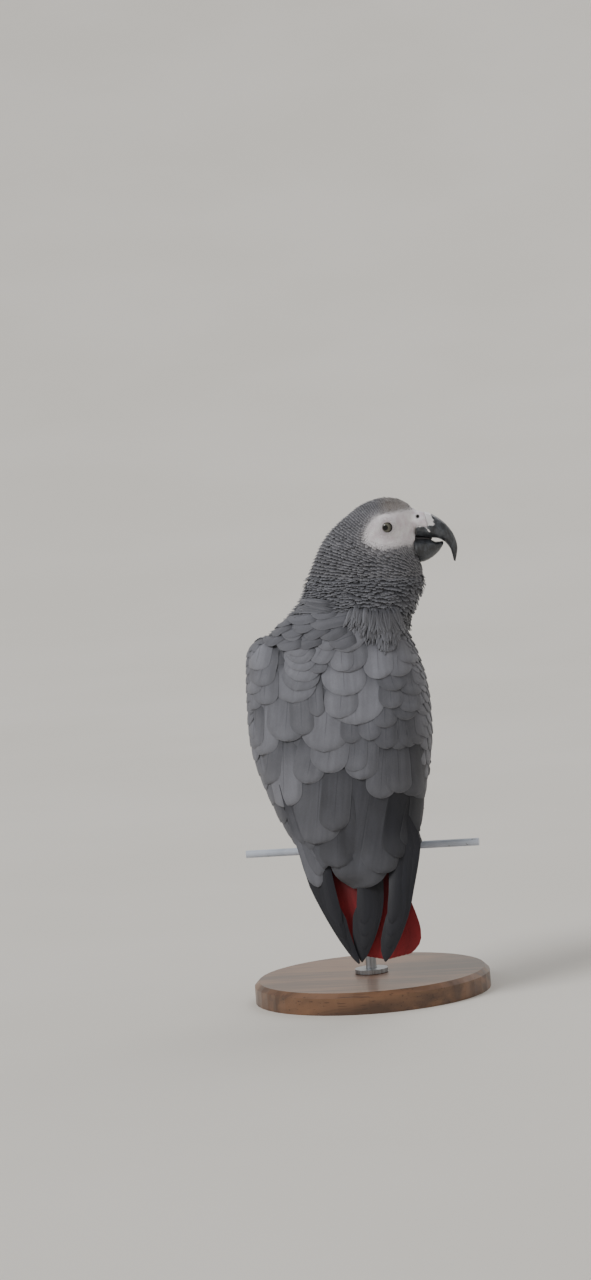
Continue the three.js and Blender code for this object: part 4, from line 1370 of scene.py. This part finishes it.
def refined(node, voxel_mm, relax, material, slot, grow_mm=0.0, rough=None):
    """A smooth, finely divided copy of a CAD node that replaces it. rough(place) moves its surface, in mm."""
    made = fused(node + "_surface", *joined([node]), voxel_mm=voxel_mm, relax=relax, material=material)
    points = points_of(made.data)
    move = np.full(len(points), grow_mm)
    if rough:
        move += np.array([rough(Vector(p)) for p in points])
    move_points(made.data, points + normals_of(made.data) * move[:, None] * MM)
    return settle(made, slot, node)


def horn_material():
    """Keratin worn to a dull polish, in thin layers that flake at their edges."""
    material, add = new_material("layered black keratin")
    layers = in_place(add, "TexNoise", 3.85, (1, 1, 0.45), Detail=6.0, Roughness=0.62)
    scratches = in_place(add, "TexNoise", 1.11, (1, 1, 0.2), Detail=4.0)
    flakes = in_place(add, "TexNoise", 2.38, (1, 1, 0.6), Detail=5.0, Roughness=0.7)
    flaking = carried(add, "marks")[0]
    chalk = add("Math", flaking, add("Math", flakes, 2.2), operation="ADD")
    tone = add("Mix", add("MapRange", layers, 0.40, 0.66), colour("#24262a"), colour("#474b51"))
    tone = add("Mix", add("MapRange", scratches, 0.60, 0.72, 0.0, 0.35), tone, colour("#7b7f84"))
    tone = add("Mix", add("MapRange", chalk, 1.35, 1.75, 0.0, 0.5), tone, colour("#8a8c90"))
    tone = add("Mix", add("MapRange", chalk, 1.62, 1.75), tone, colour("#dcdadb"))
    layered = add("Bump", relief(layers, 0.3, 0.5))
    return finished(material, add, {
        "Base Color": tone,
        "Roughness": add("MapRange", layers, 0.3, 0.7, 0.30, 0.55),
        "Coat Weight": 0.2,
        "Coat Roughness": 0.2,
        "Normal": add("Bump", {**relief(scratches, 0.06, 0.5), "Normal": layered}),
    })  # fmt: skip


def foot_material():
    """Dry skin in small raised scales, dusty grey with darker seams."""
    material, add = new_material("scaled grey foot skin")
    scales = in_place(add, "TexVoronoi", 1.61)
    cells = in_place(add, "TexNoise", 2.08, Detail=2.0)
    tone = add("Mix", add("MapRange", cells, 0.3, 0.7), colour("#5d5e63"), colour("#808186"))
    tone = add("Mix", add("MapRange", scales, 0.0, 0.13, 0.8, 0.0), tone, colour("#2b2c30"))
    normal = add("Bump", relief(scales, 0.35, 0.8))
    return finished(material, add, {"Base Color": tone, "Roughness": 0.7, "Normal": normal})


def tongue_material():
    """Moist horny skin of the tongue and gape: near black with a soft shine."""
    material, add = new_material("moist tongue skin")
    grain = in_place(add, "TexNoise", 1.43, Detail=3.0)
    tone = add("Mix", add("MapRange", grain, 0.3, 0.7), colour("#1b1a1c"), colour("#333136"))
    normal = add("Bump", relief(grain, 0.1, 0.5))
    return finished(material, add, {"Base Color": tone, "Roughness": 0.4, "Normal": normal})


def bill_flakes(place):
    """Uneven growth layers that run down the bill, in millimetres."""
    spot = Vector((place.x, place.y, place.z * 0.5))
    return 0.16 * lumps(spot, 4.5) + 0.07 * lumps(spot, 1.7)


CERE_LINE = ((25.1, 7.6), (27.7, -6.0))  # where skin gives way to horn: forward of and above the eye


def make_bill():
    horn = horn_material()
    for node in ("bill_upper", "bill_lower"):
        piece = refined(node, 0.42, 4, horn, "horn", 0.12, bill_flakes)
        points = points_of(piece.data)
        forward, _, up = head_place(points)
        (f0, u0), (f1, u1) = CERE_LINE
        beyond = forward - (f0 + (f1 - f0) * (up - u0) / (u1 - u0))
        worn = ease(6.0, 2.5, beyond) * ease(-3.2, -0.5, up)
        # a worn streak runs on down from the skin's corner
        off_streak = np.abs(forward - 24.4 - 0.73 * (-1.0 - up))
        worn += 0.55 * ease(1.5, 0.3, off_streak) * ease(-7.5, -5, up) * ease(0, -1.5, up)
        give_marks(piece.data, worn if node == "bill_upper" else worn * 0, beyond * 0, beyond * 0)
    make_tongue()
    return horn


def make_tongue():
    """A blunt tongue, grooved along its top, that ends inside the bill's tip."""
    rows, around = 11, 16
    points = []
    for i, forward in enumerate(np.linspace(12, 29, rows + 1)):
        share = i / rows
        half, rise = 5.4 * sqrt(1 - 0.93 * share**3), 2.3 * sqrt(1 - 0.93 * share**4)
        for roll in np.linspace(0, 2 * pi, around, endpoint=False):
            groove = 0.7 * exp(-((cos(roll) / 0.3) ** 2)) * (sin(roll) > 0)
            up = -8.7 + rise * sin(roll) - groove - 1.4 * share
            points.append(in_head(forward, half * cos(roll), up))
    ends = [tuple(range(around - 1, -1, -1)), tuple(range(rows * around, (rows + 1) * around))]
    tongue = new_object("tongue", points, bands(rows, around) + ends, tongue_material())
    settle(tongue, "bare_skin")


def make_feet(horn):
    skin = foot_material()
    for side in SIDES:
        refined("foot_" + side, 0.55, 3, skin, "scaled_skin", 0.12)
        for toe in range(1, 5):
            claw = refined(f"claw_{side}_{toe}", 0.30, 3, horn, "horn", 0.05)
            none = np.zeros(len(claw.data.vertices))
            give_marks(claw.data, none, none, none)


# ---- Perch and stand ----


def enamel_material():
    """Air-dried enamel on steel wire: satin and pale, chipped to dull dark metal."""
    material, add = new_material("pale enamel on steel wire")
    chips = in_place(add, "TexNoise", 7.7, Detail=5.0, Roughness=0.7)
    grime = in_place(add, "TexNoise", 22.2, Detail=3.0)
    paint = add("Mix", add("MapRange", grime, 0.35, 0.7), colour("#c3cad6"), colour("#a2aab7"))
    worn = add("MapRange", chips, 0.62, 0.66)
    return finished(material, add, {
        "Base Color": add("Mix", worn, paint, colour("#4a4744")),
        "Roughness": add("MapRange", chips, 0.60, 0.68, 0.35, 0.75),
        "Normal": add("Bump", relief(worn, 0.15, -0.7)),
    })  # fmt: skip


def steel_material():
    """Steel bar brushed along its length: grey, with soft streaked highlights."""
    material, add = new_material("brushed steel bar")
    grain = in_place(add, "TexNoise", 1.11, (1, 1, 0.03), Detail=3.0)  # real brush lines are too fine to show
    return finished(material, add, {
        "Base Color": add("Mix", add("MapRange", grain, 0.3, 0.7), colour("#8f9296"), colour("#a9acb0")),
        "Metallic": 1.0,
        "Roughness": add("MapRange", grain, 0.3, 0.7, 0.28, 0.42),
        "Normal": add("Bump", relief(grain, 0.02, 0.4)),
    })  # fmt: skip


def walnut_material():
    """Turned walnut under satin varnish: long grain with fine open pores."""
    material, add = new_material("varnished walnut")
    bend = in_place(add, "TexNoise", 111, Detail=2.0)
    lines = in_place(add, "TexNoise", 14.3, (0.12, 1, 1), Detail=5.0, Distortion=0.8)
    pores = in_place(add, "TexNoise", 1.11, (0.05, 1, 1), Detail=2.0)  # coarser than real ones, to show
    grain = add("Math", lines, add("Math", bend, 0.35), operation="ADD")
    tone = add("Mix", add("MapRange", grain, 0.5, 0.85), colour("#4b3323"), colour("#77543a"))
    tone = add("Mix", add("MapRange", pores, 0.60, 0.70, 0.0, 0.6), tone, colour("#2a1b12"))
    return finished(material, add, {
        "Base Color": tone,
        "Roughness": 0.42,
        "Coat Weight": 0.3,
        "Coat Roughness": 0.2,
        "Normal": add("Bump", relief(pores, 0.04, -0.4)),
    })  # fmt: skip


def finish_stand():
    steel = steel_material()
    finishes = {"perch_wire": enamel_material(), "stand_base": walnut_material()}
    finishes.update({name: steel for name in ("stand_rod", "stand_clamp", "stand_flange")})
    for name, material in finishes.items():
        mesh = NODES[name].data
        mesh.materials.clear()
        mesh.materials.append(material)


# ---- Studio ----


def soft_sun(name, way, strength, spread):
    """Even light from one way, as from a large bright window."""
    data = bpy.data.lights.new(name, "SUN")
    data.energy = strength
    data.angle = radians(spread)
    placed(name, data).rotation_euler = way.to_track_quat("Z", "Y").to_euler()


def backdrop():
    """A pale round floor that sweeps up into a low wall far off, alike from every side."""
    material, add = new_material("matt plaster backdrop")
    fibre = in_place(add, "TexNoise", 400, Detail=3.0)
    tone = add("Mix", add("MapRange", fibre, 0.3, 0.7), colour("#dad6ce"), colour("#dedad3"))
    finished(material, add, {"Base Color": tone, "Roughness": 0.9})
    profile = [(0.4, 0), (2, 0)] + [(2 + r, 0.075 * r**2) for r in np.linspace(0.5, 8, 16)]
    around = 64
    points = [(0, 0, 0)]
    angles = np.linspace(0, 2 * pi, around, endpoint=False)
    for reach, z in profile:
        points += [(reach * cos(a), reach * sin(a), z) for a in angles]
    faces = [(0, 1 + j, 1 + (j + 1) % around) for j in range(around)]
    faces += [(a, d, c, b) for a, b, c, d in bands(len(profile) - 1, around, 1)]
    new_object("backdrop", points, faces, material)


ROLL = radians(4.5)
SENSOR = 36  # millimetres, the height of the frame
FOCAL = 2.7890625  # focal length as a share of the frame's height
PERCH_IN_FRAME = (0.051953125, -0.1625)  # shares of that height right of and above the frame's middle


def add_camera():
    data = bpy.data.cameras.new("camera")
    data.sensor_fit = "VERTICAL"
    data.sensor_height = SENSOR
    data.lens = SENSOR * FOCAL
    made = placed("camera", data)
    axes = Matrix((VIEW_RIGHT, VIEW_UP, TOWARDS_VIEWER)).transposed()
    rolled = axes @ Matrix.Rotation(-ROLL, 3, "Z")
    towards = Vector((*PERCH_IN_FRAME, -FOCAL)).normalized()
    aimed = rolled @ towards.rotation_difference(Vector((0, 0, -1))).to_matrix()
    made.matrix_world = Matrix.Translation(PERCH + TOWARDS_VIEWER * CAMERA_DISTANCE) @ aimed.to_4x4()
    bpy.context.scene.camera = made


def light_studio():
    world = bpy.data.worlds.new("studio")
    world.use_nodes = True
    background = world.node_tree.nodes["Background"].inputs
    background["Color"].default_value = colour("#e6e6e8")
    background["Strength"].default_value = 0.5
    bpy.context.scene.world = world
    soft_sun("window", TOWARDS_VIEWER * 0.8 - VIEW_RIGHT * 1.3 + UP * 1.2, 2.0, 25)
    soft_sun("front", -TOWARDS_VIEWER * 1.2 + VIEW_RIGHT * 0.5 + UP * 1.4, 0.8, 40)


# ---- Build ----

dress_face(make_skin())
dress_head()
dress_neck()
dress_trunk()
dress_thighs()
dress_sides()
dress_back()
dress_primaries()
dress_tail()
make_eyes()
make_feet(make_bill())
finish_stand()
backdrop()
light_studio()
add_camera()
